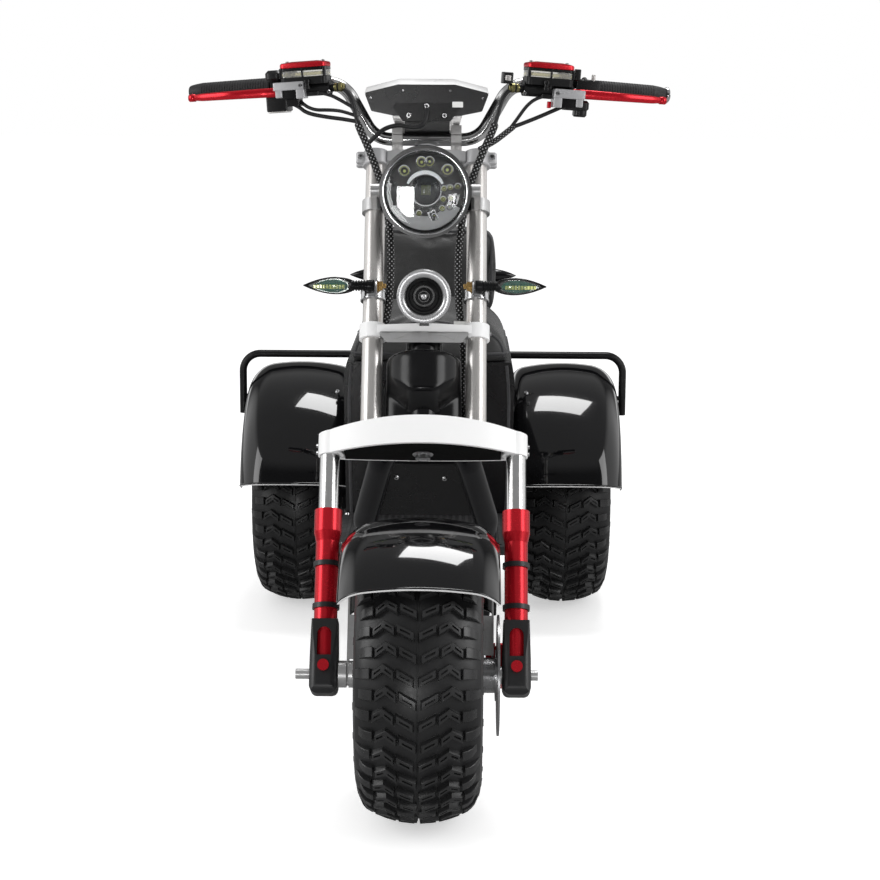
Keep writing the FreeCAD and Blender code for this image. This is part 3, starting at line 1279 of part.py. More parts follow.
def body_outline(low, wide, top, foot, shoulder, height):
    # A section that swells to its shoulder and curves in to its top
    rise = height - shoulder
    bulge = Vector(top + (wide - top) * DIAGONAL, 0, shoulder + rise * DIAGONAL)
    return Part.Wire([
        line(Vector(-low, 0, foot), Vector(low, 0, foot)),
        line(Vector(low, 0, foot), Vector(wide, 0, shoulder)),
        arc(Vector(wide, 0, shoulder), bulge, Vector(top, 0, height)),
        line(Vector(top, 0, height), Vector(-top, 0, height)),
        arc(Vector(-top, 0, height), Vector(-bulge.x, 0, bulge.z), Vector(-wide, 0, shoulder)),
        line(Vector(-wide, 0, shoulder), Vector(-low, 0, foot)),
    ])


def seat_box():
    foot = RAIL_HEIGHT + RAIL_RADIUS + SEAT_FIT
    section = body_outline(
        BODY_HALF_WIDTH, BODY_SHOULDER, BODY_TOP_HALF_WIDTH, foot, BODY_TOP - BODY_SHOULDER_DROP, BODY_TOP)
    solid = Part.Face(section).extrude(Vector(0, BODY_BACK - BODY_FRONT, 0))
    solid.translate(Vector(0, BODY_FRONT, 0))
    return solid


def seat():
    # A saddle that carries on the body's sides and rounds over to its top
    foot = BODY_TOP + SEAT_FIT
    flat = SEAT_HALF_WIDTH - SEAT_CORNER
    section = body_outline(
        SEAT_HALF_WIDTH, SEAT_HALF_WIDTH, flat, foot, SEAT_TOP - SEAT_CORNER, SEAT_TOP)
    solid = Part.Face(section).extrude(Vector(0, SEAT_BACK - SEAT_FRONT, 0))
    solid.translate(Vector(0, SEAT_FRONT, 0))
    wide = SEAT_HALF_WIDTH + OVERRUN
    lean = SEAT_ROUND * (1 - DIAGONAL)
    edges = [line(Vector(-wide, SEAT_FRONT, foot - OVERRUN), Vector(-wide, SEAT_BACK, foot - OVERRUN))]
    for end, inward in ((SEAT_FRONT, 1), (SEAT_BACK, -1)):
        edges.append(line(Vector(-wide, end, foot - OVERRUN), Vector(-wide, end, SEAT_TOP - SEAT_ROUND)))
        edges.append(arc(
            Vector(-wide, end, SEAT_TOP - SEAT_ROUND), Vector(-wide, end + inward * lean, SEAT_TOP - lean),
            Vector(-wide, end + inward * SEAT_ROUND, SEAT_TOP)))
    front, back = SEAT_FRONT + SEAT_ROUND, SEAT_BACK - SEAT_ROUND
    edges.append(line(Vector(-wide, front, SEAT_TOP), Vector(-wide, back, SEAT_TOP)))
    side = Part.Face(Part.Wire(Part.__sortEdges__(edges)))
    return solid.common(side.extrude(Vector(wide * 2, 0, 0)))


def backrest():
    cushion = block(
        (-BACKREST_HALF_WIDTH, BACKREST_HALF_WIDTH),
        (BACKREST_FRONT, BACKREST_FRONT + BACKREST_THICKNESS), (BACKREST_FOOT, BACKREST_TOP))
    return rounded(cushion, BACKREST_ROUND, ALONG_Y)


def rear_axle():
    # Axle tube with the drive unit, the stubs and nuts, and the arms that hold it
    centre = Vector(0, WHEELBASE, TYRE_RADIUS)
    tube = rod(centre - ALONG_X * AXLE_TUBE_HALF, centre + ALONG_X * AXLE_TUBE_HALF, AXLE_TUBE_RADIUS)
    drive = rod(centre - ALONG_X * DRIVE_HALF_WIDTH, centre + ALONG_X * DRIVE_HALF_WIDTH, DRIVE_RADIUS)
    end = REAR_TRACK / 2 + REAR_HUB_WIDTH / 2 + NUT_GAP
    stub = rod(centre - ALONG_X * (end + OVERRUN), centre + ALONG_X * (end + OVERRUN), STUB_RADIUS)
    pieces = [drive, stub]
    bores = []
    for side in (-1, 1):
        start = centre + ALONG_X * (side * end)
        pieces.append(rod(start, start + ALONG_X * (side * STUB_NUT_LENGTH), STUB_NUT_RADIUS))
        place = side * ARM_SPREAD / 2
        pivot, hub = Vector(place, ARM_FRONT, ARM_HEIGHT), Vector(place, WHEELBASE, TYRE_RADIUS)
        pieces.append(rod(pivot, hub, ARM_RADIUS))
        sleeve, bore = eye(place, ARM_FRONT, ARM_HEIGHT, PIVOT_RADIUS)
        pieces.append(sleeve)
        bores.append(bore)
    return tube.fuse(pieces).cut(Part.makeCompound(bores))


def eye(place, along, height, radius):
    # Short sleeve round a cross bar, with its clearance
    low, high = Vector(place - EYE_WIDTH / 2, along, height), Vector(place + EYE_WIDTH / 2, along, height)
    over = ALONG_X * OVERRUN
    return rod(low, high, radius + EYE_WALL), rod(low - over, high + over, radius + SEAT_FIT)


def shock():
    # Canister at the foot, rod above it and an eye round the frame's bar
    foot = Vector(SHOCK_PLACE, WHEELBASE, TYRE_RADIUS + AXLE_TUBE_RADIUS + SEAT_FIT)
    can = rod(foot, Vector(SHOCK_PLACE, WHEELBASE, SHOCK_CAN_TOP), SHOCK_RADIUS)
    stick = rod(foot, Vector(SHOCK_PLACE, WHEELBASE, SHOCK_TOP), SHOCK_ROD_RADIUS)
    sleeve, bore = eye(SHOCK_PLACE, WHEELBASE, SHOCK_TOP, SHOCK_BAR_RADIUS)
    return can.fuse([stick, sleeve]).cut(bore)


def shock_absorbers():
    return pair(shock())


def rear_fender():
    section = fender_section(
        REAR_FENDER_INNER, REAR_FENDER_OUTER, REAR_FENDER_INNER_ROUND, REAR_FENDER_OUTER_ROUND,
        REAR_FENDER_CROWN, REAR_FENDER_RADIUS, REAR_FENDER_SKIRT)
    return swept_fender(section, REAR_FENDER_LIP_ANGLE, HALF_ANGLE, WHEELBASE)


def rear_fenders():
    return pair(rear_fender())


def guard_rail():
    points = [
        Vector(GUARD_HALF_WIDTH, WHEELBASE, GUARD_END), Vector(GUARD_HALF_WIDTH, WHEELBASE, GUARD_HEIGHT),
    ]
    points = points + [Vector(-point.x, point.y, point.z) for point in reversed(points)]
    bar = bent_rod(points, GUARD_RADIUS, GUARD_BEND)
    bolts = []
    for side in (-1, 1):
        start = Vector(side * (REAR_FENDER_OUTER + SEAT_FIT), WHEELBASE, GUARD_BOLT_HEIGHT)
        end = Vector(side * GUARD_HALF_WIDTH, WHEELBASE, GUARD_BOLT_HEIGHT)
        bolts.append(rod(start, end, GUARD_BOLT_RADIUS))
    return bar.fuse(bolts)


def upright_place():
    return BACKREST_FRONT + BACKREST_THICKNESS + UPRIGHT_RADIUS + SEAT_FIT


def rear_rack():
    # Plate on the tail rails with the backrest's uprights and the guard rail's posts
    foot = TAIL_HEIGHT + RAIL_RADIUS + SEAT_FIT
    top = foot + RACK_THICKNESS
    plate = block((-RACK_HALF_WIDTH, RACK_HALF_WIDTH), (RACK_FRONT, RACK_BACK), (foot, top))
    plate = rounded(plate, TANK_ROUND, ALONG_Z)
    pieces = []
    half = POST_WIDTH / 2
    post_top = GUARD_HEIGHT - GUARD_RADIUS - SEAT_FIT
    for side in (-1, 1):
        post = sorted((side * (RAIL_PLACE - half), side * (RAIL_PLACE + half)))
        pieces.append(block(post, (WHEELBASE - half, WHEELBASE + half), (top - OVERRUN, post_top)))
        low = Vector(side * UPRIGHT_SPREAD / 2, upright_place(), top - OVERRUN)
        pieces.append(rod(low, Vector(low.x, low.y, UPRIGHT_TOP), UPRIGHT_RADIUS))
    plate = plate.fuse(pieces)
    across, along = RACK_HOLE_SPACING[0] / 2, RACK_HOLE_SPACING[1] / 2
    for x in (-across, across):
        for y in (RACK_HOLE_CENTRE - along, RACK_HOLE_CENTRE + along):
            spot = Vector(x, y, foot - OVERRUN)
            plate = plate.cut(rod(spot, spot + ALONG_Z * (RACK_THICKNESS + OVERRUN * 2), RACK_HOLE_RADIUS))
    return plate


def tail_lamp():
    start = TAIL_END + SEAT_FIT
    half = TAIL_LAMP_HEIGHT / 2
    lamp = block(
        (-TAIL_LAMP_HALF_WIDTH, TAIL_LAMP_HALF_WIDTH), (start, start + TAIL_LAMP_DEPTH),
        (TAIL_HEIGHT - half, TAIL_HEIGHT + half))
    return rounded(lamp, TAIL_LAMP_ROUND, ALONG_Y)


def rear_signals():
    place = upright_place() + UPRIGHT_RADIUS + SIGNAL_STEM_RADIUS + SEAT_FIT
    return pair(signal(REAR_SIGNAL_TIP, place, REAR_SIGNAL_HEIGHT))


def cable_harness():
    # One bundle per side, from the master cylinder's union down behind the inner tube
    start = Vector(MASTER_SPAN[0] - BANJO_LENGTH - SEAT_FIT, -MASTER_AHEAD, MASTER_RISE)
    lead = start - ALONG_X * CABLE_LEAD
    points = [to_bar(Part.Vertex(start)).Point, to_bar(Part.Vertex(lead)).Point]
    for across, behind, level in CABLE_ROUTE:
        points.append(on_fork(level, across, behind))
    return pair(cable(points, CABLE_RADIUS))


def write(node, shape):
    placed = shape.copy()
    placed.translate(Vector(0, -MIDDLE, 0))
    placed.exportStep("parts/" + node + ".step")


def build():
    rear = REAR_TRACK / 2
    front_bore, rear_bore = AXLE_RADIUS + SEAT_FIT, STUB_RADIUS + SEAT_FIT
    write("front_tyre", tyre(0, 0))
    write("front_rim", rim(0, 0, FRONT_HUB_WIDTH, front_bore))
    write("front_disc", brake_disc())
    write("rear_tyre_left", tyre(rear, WHEELBASE))
    write("rear_rim_left", rim(rear, WHEELBASE, REAR_HUB_WIDTH, rear_bore))
    write("rear_tyre_right", tyre(-rear, WHEELBASE))
    write("rear_rim_right", rim(-rear, WHEELBASE, REAR_HUB_WIDTH, rear_bore))
    write("crown", crown())
    write("mid_yoke", mid_yoke())
    write("top_yoke", top_yoke())
    write("inner_tubes", inner_tubes())
    write("stanchions", stanchions())
    write("fork_legs", fork_legs())
    write("fork_feet", fork_feet())
    write("front_axle", front_axle())
    write("front_fender", front_fender())
    write("front_caliper", front_caliper())
    write("handlebar", handlebar())
    write("risers", risers())
    write("grips", grips())
    write("master_cylinders", master_cylinders())
    write("reservoirs", reservoirs())
    write("brake_levers", brake_levers())
    write("switch_pods", switch_pods())
    write("dash", dash())
    write("headlamp_shell", headlamp_shell())
    write("headlamp_lens", headlamp_lens())
    write("horn", horn())
    write("front_signals", front_signals())
    write("cable_harness", cable_harness())
    write("frame", frame())
    write("neck_cover", neck_cover())
    write("front_panel", front_panel())
    write("deck", deck())
    write("battery_box", battery_box())
    write("seat_box", seat_box())
    write("seat", seat())
    write("backrest", backrest())
    write("rear_axle", rear_axle())
    write("shock_absorbers", shock_absorbers())
    write("rear_fenders", rear_fenders())
    write("guard_rail", guard_rail())
    write("rear_rack", rear_rack())
    write("tail_lamp", tail_lamp())
    write("rear_signals", rear_signals())


os.makedirs("parts", exist_ok=True)
build()
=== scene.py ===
# Dressed scene of a fat-tyre electric trike: finishes for the CAD pieces, treaded tyres,
# padded seat, lamps, cables, fasteners and trim, with the camera and the studio.
import math

import bmesh
import bpy
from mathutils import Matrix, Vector
from mathutils.bvhtree import BVHTree


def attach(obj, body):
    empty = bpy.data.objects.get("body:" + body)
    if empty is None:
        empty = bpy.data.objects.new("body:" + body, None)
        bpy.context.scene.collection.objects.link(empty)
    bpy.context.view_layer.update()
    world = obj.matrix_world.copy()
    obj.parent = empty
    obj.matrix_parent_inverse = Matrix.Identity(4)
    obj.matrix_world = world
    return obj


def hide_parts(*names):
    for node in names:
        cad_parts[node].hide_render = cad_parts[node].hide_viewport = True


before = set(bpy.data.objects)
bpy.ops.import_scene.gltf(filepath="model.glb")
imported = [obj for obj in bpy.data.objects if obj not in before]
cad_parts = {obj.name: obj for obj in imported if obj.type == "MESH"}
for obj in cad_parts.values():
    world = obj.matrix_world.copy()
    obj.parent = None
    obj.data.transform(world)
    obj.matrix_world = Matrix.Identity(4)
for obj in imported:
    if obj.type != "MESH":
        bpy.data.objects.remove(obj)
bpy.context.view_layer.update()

MM = 0.001
MIDDLE = 694.25
RAKE = math.radians(28)
WHEEL_HEIGHT = 228.5
REAR_AXLE = 1320.0
REAR_PLACE = 285.0
TUBE_SIDE = 85.3
LAMP_FRONT = 270
LAMP_HEIGHT = 961
UP = Vector((0, 0, 1))
AHEAD = Vector((0, -1, 0))
LEFT = Vector((1, 0, 0))


def at(x, y, z):
    """Millimetres from the ground under the front axle, in the row frame's metres."""
    return Vector((x, y - MIDDLE, z)) * MM


def on_fork(level, across, behind):
    """A point given along the steering axis, across it and behind it, in millimetres."""
    y = level * math.sin(RAKE) + behind * math.cos(RAKE)
    z = level * math.cos(RAKE) - behind * math.sin(RAKE)
    return at(across, y, z + WHEEL_HEIGHT)


FORK_UP = Vector((0, math.sin(RAKE), math.cos(RAKE)))
FORK_BACK = Vector((0, math.cos(RAKE), -math.sin(RAKE)))
BAR_CORNER = Vector((142.0, (1040.0 - WHEEL_HEIGHT) * math.tan(RAKE), 1135.0))
BAR_OUT, BAR_BACK, BAR_FALL = 263.0, 66.0, 19.4
BAR_TURN = math.atan2(BAR_BACK, BAR_OUT)
BAR_DROOP = math.atan2(BAR_FALL, math.hypot(BAR_BACK, BAR_OUT))


def on_bar(side, along, behind, up):
    """A point beside the handlebar's outer run; side is 1 for the vehicle's left."""
    flat = along * math.cos(BAR_DROOP) + up * math.sin(BAR_DROOP)
    rise = up * math.cos(BAR_DROOP) - along * math.sin(BAR_DROOP)
    x = BAR_CORNER.x + flat * math.cos(BAR_TURN) - behind * math.sin(BAR_TURN)
    y = BAR_CORNER.y + flat * math.sin(BAR_TURN) + behind * math.cos(BAR_TURN)
    return at(side * x, y, BAR_CORNER.z + rise)


def hand(side):
    """The name of the side that 1 and -1 stand for."""
    return "left" if side > 0 else "right"


def bar_axes(side):
    """Directions along the outer run, behind it and up from it."""
    start = on_bar(side, 0, 0, 0)
    return [(on_bar(side, *step) - start).normalized() for step in ((1, 0, 0), (0, 1, 0), (0, 0, 1))]


# Shader nodes ---------------------------------------------------------------


class Wire:
    """An output of a shader node, so that sums on it read as plain arithmetic."""

    def __init__(self, finish, socket):
        self.finish = finish
        self.socket = socket

    def sum(self, operation, first, second):
        return self.finish.node("ShaderNodeMath", {"operation": operation}, {0: first, 1: second})

    def __add__(self, other):
        return self.sum("ADD", self, other)

    def __mul__(self, other):
        return self.sum("MULTIPLY", self, other)

    __radd__ = __add__
    __rmul__ = __mul__


class Finish:
    """A material: one Principled shader and the nodes that vary it over the surface."""

    def __init__(self, name, colour, metallic=0.0, roughness=0.5, **constants):
        self.material = bpy.data.materials.new(name)
        self.material.use_nodes = True
        self.tree = self.material.node_tree
        self.shader = self.tree.nodes["Principled BSDF"]
        self.put("Base Color", (*colour, 1))
        self.put("Metallic", metallic)
        self.put("Roughness", roughness)
        for socket, value in constants.items():
            self.put(socket.replace("_", " "), value)

    def put(self, socket, value):
        """Sets a socket of the shader to a constant or links a wire to it."""
        if isinstance(value, Wire):
            self.tree.links.new(value.socket, self.shader.inputs[socket])
        else:
            self.shader.inputs[socket].default_value = value

    def node(self, kind, settings, values):
        """Adds any node, with its settings first and then its sockets, and gives its output."""
        made = self.tree.nodes.new(kind)
        stops = settings.pop("stops", None)
        for name, value in settings.items():
            setattr(made, name, value)
        if stops:
            ramp = made.color_ramp.elements
            while len(ramp) < len(stops):
                ramp.new(1)
            for element, (place, colour) in zip(ramp, stops):
                element.position = place
                element.color = (*colour, 1)
        for name, value in values.items():
            if isinstance(value, Wire):
                self.tree.links.new(value.socket, made.inputs[name])
            else:
                made.inputs[name].default_value = value
        shown = [socket for socket in made.outputs if socket.enabled]
        return Wire(self, shown[0])

    def place(self, scale=(1, 1, 1), turn=(0, 0, 0)):
        """Object coordinates, turned and stretched."""
        coordinates = self.tree.nodes.new("ShaderNodeTexCoord")
        wire = Wire(self, coordinates.outputs["Object"])
        return self.node("ShaderNodeMapping", {}, {"Vector": wire, "Scale": scale, "Rotation": turn})

    def along_piece(self, scale):
        """The piece's own UV map, stretched."""
        mapped = self.node("ShaderNodeUVMap", {"uv_map": "UVMap"}, {})
        return self.node("ShaderNodeMapping", {}, {"Vector": mapped, "Scale": scale})

    def noise(self, scale, detail=3.0, where=None, roughness=0.55):
        where = where or self.place()
        return self.node("ShaderNodeTexNoise", {}, {
            "Vector": where, "Scale": scale, "Detail": detail, "Roughness": roughness})

    def cells(self, scale, feature="DISTANCE_TO_EDGE"):
        return self.node("ShaderNodeTexVoronoi", {"feature": feature}, {"Vector": self.place(), "Scale": scale})

    def between(self, wire, low, high, start=0.0, end=1.0):
        """A wire's range start to end spread over low to high."""
        return self.node("ShaderNodeMapRange", {"interpolation_type": "SMOOTHSTEP"}, {
            "Value": wire, "From Min": start, "From Max": end, "To Min": low, "To Max": high})

    def blend(self, share, first, second):
        """Two colours mixed by a share."""
        return self.node("ShaderNodeMix", {"data_type": "RGBA"}, {
            0: share, 6: self.full(first), 7: self.full(second)})

    @staticmethod
    def full(colour):
        return colour if isinstance(colour, Wire) else (*colour, 1)

    def bump(self, height, strength, depth):
        """Gives the shader a bumped normal from a height between 0 and 1 and its depth in metres."""
        self.put("Normal", self.node("ShaderNodeBump", {}, {
            "Height": height, "Strength": strength, "Distance": depth}))


def paint(name, colour, roughness):
    """Sprayed lacquer: a coat over the colour, faint orange peel and a little dust."""
    finish = Finish(name, colour, roughness=roughness, Specular_IOR_Level=0.08, Coat_Weight=1.0,
        Coat_Roughness=0.03, Coat_IOR=1.52)
    cloud = finish.noise(9, 4)
    lighter = [share * 1.6 + 0.001 for share in colour]
    finish.put("Base Color", finish.blend(finish.between(cloud, 0, 0.5, 0.45, 0.75), colour, lighter))
    finish.put("Roughness", finish.between(cloud, roughness, roughness * 1.5, 0.3, 0.7))
    finish.bump(finish.noise(210, 2), 0.5, 0.00006)
    return finish


def powder(name, colour, roughness, grain=900, depth=0.00012):
    """Baked powder coat: fine grain, slightly paler where it is rubbed."""
    finish = Finish(name, colour, roughness=roughness, Specular_IOR_Level=0.45)
    fine = finish.noise(grain, 2)
    cloud = finish.noise(14, 5)
    rubbed = [min(1.0, share * 1.5 + 0.004) for share in colour]
    finish.put("Base Color", finish.blend(finish.between(cloud, 0, 0.7, 0.5, 0.8), colour, rubbed))
    finish.put("Roughness", finish.between(cloud, roughness * 0.85, roughness * 1.15, 0.3, 0.7))
    finish.bump(fine, 0.6, depth)
    return finish


def bare_metal(name, colour, roughness, scale, turn=(0, 0, 0), strength=0.35, metallic=1.0):
    """Metal with fine scratches that run where the scale is low."""
    finish = Finish(name, colour, metallic=metallic, roughness=roughness)
    lines = finish.noise(1, 3, finish.place(scale, turn), 0.7)
    cloud = finish.noise(16, 4)
    darker = [share * 0.78 for share in colour]
    finish.put("Base Color", finish.blend(lines, darker, colour))
    worn = lines * 0.6 + cloud * 0.4
    finish.put("Roughness", finish.between(worn, roughness * 0.75, roughness * 1.25, 0.25, 0.75))
    finish.bump(lines, strength, 0.00004)
    return finish


def rubbery(name, colour, roughness, grain=1400, depth=0.0001):
    """Moulded rubber: matt, with a fine skin and pale dust in patches."""
    finish = Finish(name, colour, roughness=roughness, Specular_IOR_Level=0.4)
    cloud = finish.noise(11, 6)
    dusty = [share * 1.7 + 0.006 for share in colour]
    finish.put("Base Color", finish.blend(finish.between(cloud, 0, 0.8, 0.45, 0.8), colour, dusty))
    finish.put("Roughness", finish.between(finish.noise(60, 3), roughness * 0.85, min(1.0, roughness * 1.15),
        0.3, 0.7))
    finish.bump(finish.noise(grain, 2), 0.5, depth)
    return finish


def grained_leather(name, colour):
    """Synthetic leather: cells with creases between them, glossier on the cells."""
    finish = Finish(name, colour, roughness=0.42, Specular_IOR_Level=0.5, Sheen_Weight=0.1)
    creases = finish.cells(330)
    height = finish.between(creases, 0, 1, 0.0, 0.16)
    fine = finish.noise(1500, 2)
    cloud = finish.noise(12, 5)
    paler = [share * 1.8 + 0.008 for share in colour]
    finish.put("Base Color", finish.blend(finish.between(cloud, 0, 0.8, 0.4, 0.8), colour, paler))
    finish.put("Roughness", finish.between(height, 0.62, 0.4))
    finish.bump(height * 0.8 + fine * 0.2, 0.7, 0.0003)
    return finish


def lens(name, colour, roughness=0.02, transmission=1.0):
    """Clear or tinted plastic that lets what is behind it show."""
    finish = Finish(name, colour, roughness=roughness, Transmission_Weight=transmission, IOR=1.49)
    finish.bump(finish.noise(70, 2), 0.1, 0.00003)
    return finish


def glowing(name, colour, strength):
    """A light-emitting chip under its clear cap."""
    finish = Finish(name, colour, roughness=0.25, Emission_Strength=strength, Coat_Weight=0.6)
    spots = finish.cells(900, "F1")
    finish.put("Emission Color", finish.blend(finish.between(spots, 0, 1, 0.1, 0.7), colour,
        [share * 0.35 for share in colour]))
    return finish


def braided_sleeve(name):
    """Woven cable sleeve: strands that cross over the tube, from its own UV map."""
    finish = Finish(name, (0.02, 0.02, 0.022), roughness=0.5, Specular_IOR_Level=0.3)
    one = finish.node("ShaderNodeTexWave", {"wave_type": "BANDS", "bands_direction": "DIAGONAL"}, {
        "Vector": finish.along_piece((1, 1, 1)), "Scale": 1.0472})
    two = finish.node("ShaderNodeTexWave", {"wave_type": "BANDS", "bands_direction": "DIAGONAL"}, {
        "Vector": finish.along_piece((-1, 1, 1)), "Scale": 1.0472})
    weave = one * two
    finish.put("Base Color", finish.blend(finish.between(weave, 0, 1, 0.45, 0.85), (0.005, 0.005, 0.005),
        (0.42, 0.42, 0.43)))
    finish.bump(weave, 0.8, 0.0004)
    return finish


def two_tone(name, inner, outer, reach, swap_at):
    """Two plain finishes of one piece that meet at a distance from its middle, to both sides."""
    finish = Finish(name, inner[0], metallic=inner[1], roughness=inner[2])
    sides = finish.node("ShaderNodeSeparateXYZ", {}, {"Vector": finish.place()})
    away = finish.node("ShaderNodeMath", {"operation": "ABSOLUTE"}, {0: sides})
    share = finish.between(away, 0, 1, swap_at, swap_at + reach)
    cloud = finish.noise(180, 3)
    worn = [value * 0.8 for value in outer[0]]
    finish.put("Base Color", finish.blend(share, inner[0], finish.blend(cloud, worn, outer[0])))
    finish.put("Metallic", finish.between(share, inner[1], outer[1]))
    finish.put("Roughness", finish.between(share, inner[2], outer[2]))
    finish.bump(finish.noise(900, 2), 0.3, 0.00005)
    return finish


FORK_TURN = (RAKE, 0, 0)
gloss_black = paint("gloss_black_lacquer", (0.0025, 0.0025, 0.003), 0.10)
frame_black = powder("frame_black_lacquer", (0.004, 0.004, 0.005), 0.16, 210, 0.00005)
panel_black = powder("panel_black_plastic", (0.004, 0.004, 0.0045), 0.26, 1300, 0.00006)
powder_black = powder("powder_black_steel", (0.006, 0.006, 0.0065), 0.36)
for soft_black in (frame_black, panel_black, powder_black):
    soft_black.put("Specular IOR Level", 0.28)
hood_black = powder("hood_black_moulding", (0.003, 0.003, 0.0035), 0.2, 260, 0.00004)
hood_black.put("Specular IOR Level", 0.3)
# Very matt, hardly reflecting near-black: partly the black clamp plate under the crown, partly painted shade of
# its hollow.
pocket_black_and_shade = powder("crown_pocket_black_and_painted_shade", (0.006, 0.006, 0.006), 0.9)
pocket_black_and_shade.put("Specular IOR Level", 0.05)
cast_black = powder("cast_black_foot", (0.014, 0.014, 0.015), 0.38, 520, 0.00018)
housing_black = powder("housing_black_plastic", (0.006, 0.006, 0.0065), 0.26, 1600, 0.00005)
white_coat = powder("white_powder_coat", (0.90, 0.90, 0.90), 0.36, 700, 0.00008)
turned_tube = bare_metal("brushed_tube_steel", (0.74, 0.72, 0.70), 0.3, (700, 14, 14), FORK_TURN, 0.08,
    metallic=0.8)
brushed_plate = bare_metal("brushed_plate_steel", (0.62, 0.62, 0.62), 0.36, (60, 900, 60), metallic=0.7)
bar_steel = bare_metal("satin_bar_chrome", (0.80, 0.80, 0.80), 0.2, (60, 60, 60), (0, 0, 0), 0.1)
lamp_black = two_tone("lamp_body_and_collars", ((0.006, 0.006, 0.006), 0.0, 0.22),
    ((0.62, 0.62, 0.62), 0.8, 0.36), 0.001, 0.0755)
riser_steel = two_tone("riser_posts_and_bracket", ((0.008, 0.008, 0.008), 0.0, 0.3),
    ((0.72, 0.71, 0.70), 0.5, 0.3), 0.001, 0.038)
turned_disc = bare_metal("ground_disc_steel", (0.50, 0.50, 0.51), 0.3, (700, 120, 120))
chrome = bare_metal("polished_chrome", (0.78, 0.78, 0.79), 0.07, (30, 30, 30), (0, 0, 0), 0.05)
cast_alloy = powder("cast_alloy_rim", (0.56, 0.56, 0.57), 0.34, 620, 0.00012)
cast_alloy.put("Metallic", 0.4)
red_anodised = bare_metal("red_anodised_alloy", (0.62, 0.010, 0.022), 0.24, (300, 300, 300), (0, 0, 0), 0.2,
    metallic=0.55)
gold_nut = bare_metal("brass_nut", (0.62, 0.40, 0.15), 0.22, (500, 60, 60))
olive_nut = bare_metal("passivated_union", (0.36, 0.33, 0.15), 0.24, (500, 60, 60))
# Pale grey for the thin line along the fender lips: a painted highlight of the light catching the bead.
lip_highlight_edge = powder("painted_highlight_lip_edge", (0.60, 0.60, 0.60), 0.3, 900, 0.00004)
lamp_board = powder("signal_board", (0.02, 0.16, 0.12), 0.4, 1200, 0.00004)
signal_glass = lens("signal_glass", (0.78, 0.84, 0.80), 0.03, 0.95)
# Near-black on a flat disc: painted shade of the screws' hexagon socket recesses.
painted_socket_shade = powder("painted_socket_shade", (0.01, 0.01, 0.01), 0.6)
grip_rubber = rubbery("grip_rubber", (0.018, 0.018, 0.019), 0.62)
# The carcass, groove floors included, is a darker copy of the lug rubber: painted shade in the grooves.
groove_shaded_tyre_rubber = rubbery("groove_shaded_tyre_rubber", (0.011, 0.011, 0.0115), 0.34)
tread_rubber = rubbery("tread_rubber", (0.016, 0.016, 0.0165), 0.3, 900, 0.00015)
mat_rubber = rubbery("mat_rubber", (0.020, 0.020, 0.021), 0.66)
seat_leather = grained_leather("seat_leather", (0.020, 0.020, 0.020))
piping_leather = grained_leather("piping_leather", (0.022, 0.022, 0.024))
clear_glass = lens("clear_lamp_glass", (0.97, 0.98, 0.98))
clear_glass.put("Specular IOR Level", 0.28)
red_lens = lens("red_tail_lens", (0.42, 0.01, 0.012), 0.08, 0.55)
clear_tank = lens("clear_tank_plastic", (0.80, 0.79, 0.74), 0.12, 0.8)
led_amber = glowing("amber_light_chip", (0.62, 0.66, 0.22), 0.2)
screw_steel = bare_metal("screw_steel", (0.62, 0.62, 0.63), 0.2, (400, 400, 400))
blank_label = powder("blank_white_label", (0.80, 0.80, 0.79), 0.4)
# Satin for the horn's ring and bracket nut; also on the small cap at the dome's centre, a painted highlight.
horn_satin_and_highlight = bare_metal("horn_ring_satin_and_painted_highlight", (0.66, 0.66, 0.67), 0.3, (500, 500, 500), (0, 0, 0), 0.15,
    metallic=0.75)
# Light grey for a shell on the black dash's top edge: a painted highlight of the top catching the light.
brow_painted_highlight = powder("dash_top_painted_highlight", (0.62, 0.62, 0.62), 0.3, 1200, 0.00004)
mount_silver = powder("silver_lever_mount", (0.46, 0.46, 0.47), 0.3, 800, 0.00006)
mount_silver.put("Metallic", 0.45)
projector_glass = lens("projector_glass", (0.34, 0.36, 0.38), 0.01, 0.9)
ramp_grey = powder("lamp_ramp", (0.62, 0.62, 0.63), 0.25, 900, 0.00004)
amber_fluid = lens("brake_fluid", (0.80, 0.74, 0.42), 0.05, 0.7)
mirror_cup = bare_metal("lamp_reflector", (0.74, 0.74, 0.75), 0.12, (90, 90, 90), (0, 0, 0), 0.1)
light_guide = glowing("light_guide", (0.86, 0.88, 0.90), 0.55)
black_mask = powder("lamp_black_mask", (0.012, 0.012, 0.013), 0.3, 1500, 0.00004)
orange_wire = rubbery("orange_wire", (0.55, 0.17, 0.02), 0.4)
white_plug = powder("white_connector", (0.78, 0.78, 0.76), 0.4)
sleeve = braided_sleeve("braided_cable_sleeve")
wire_black = rubbery("thin_wire_black", (0.012, 0.012, 0.013), 0.4)

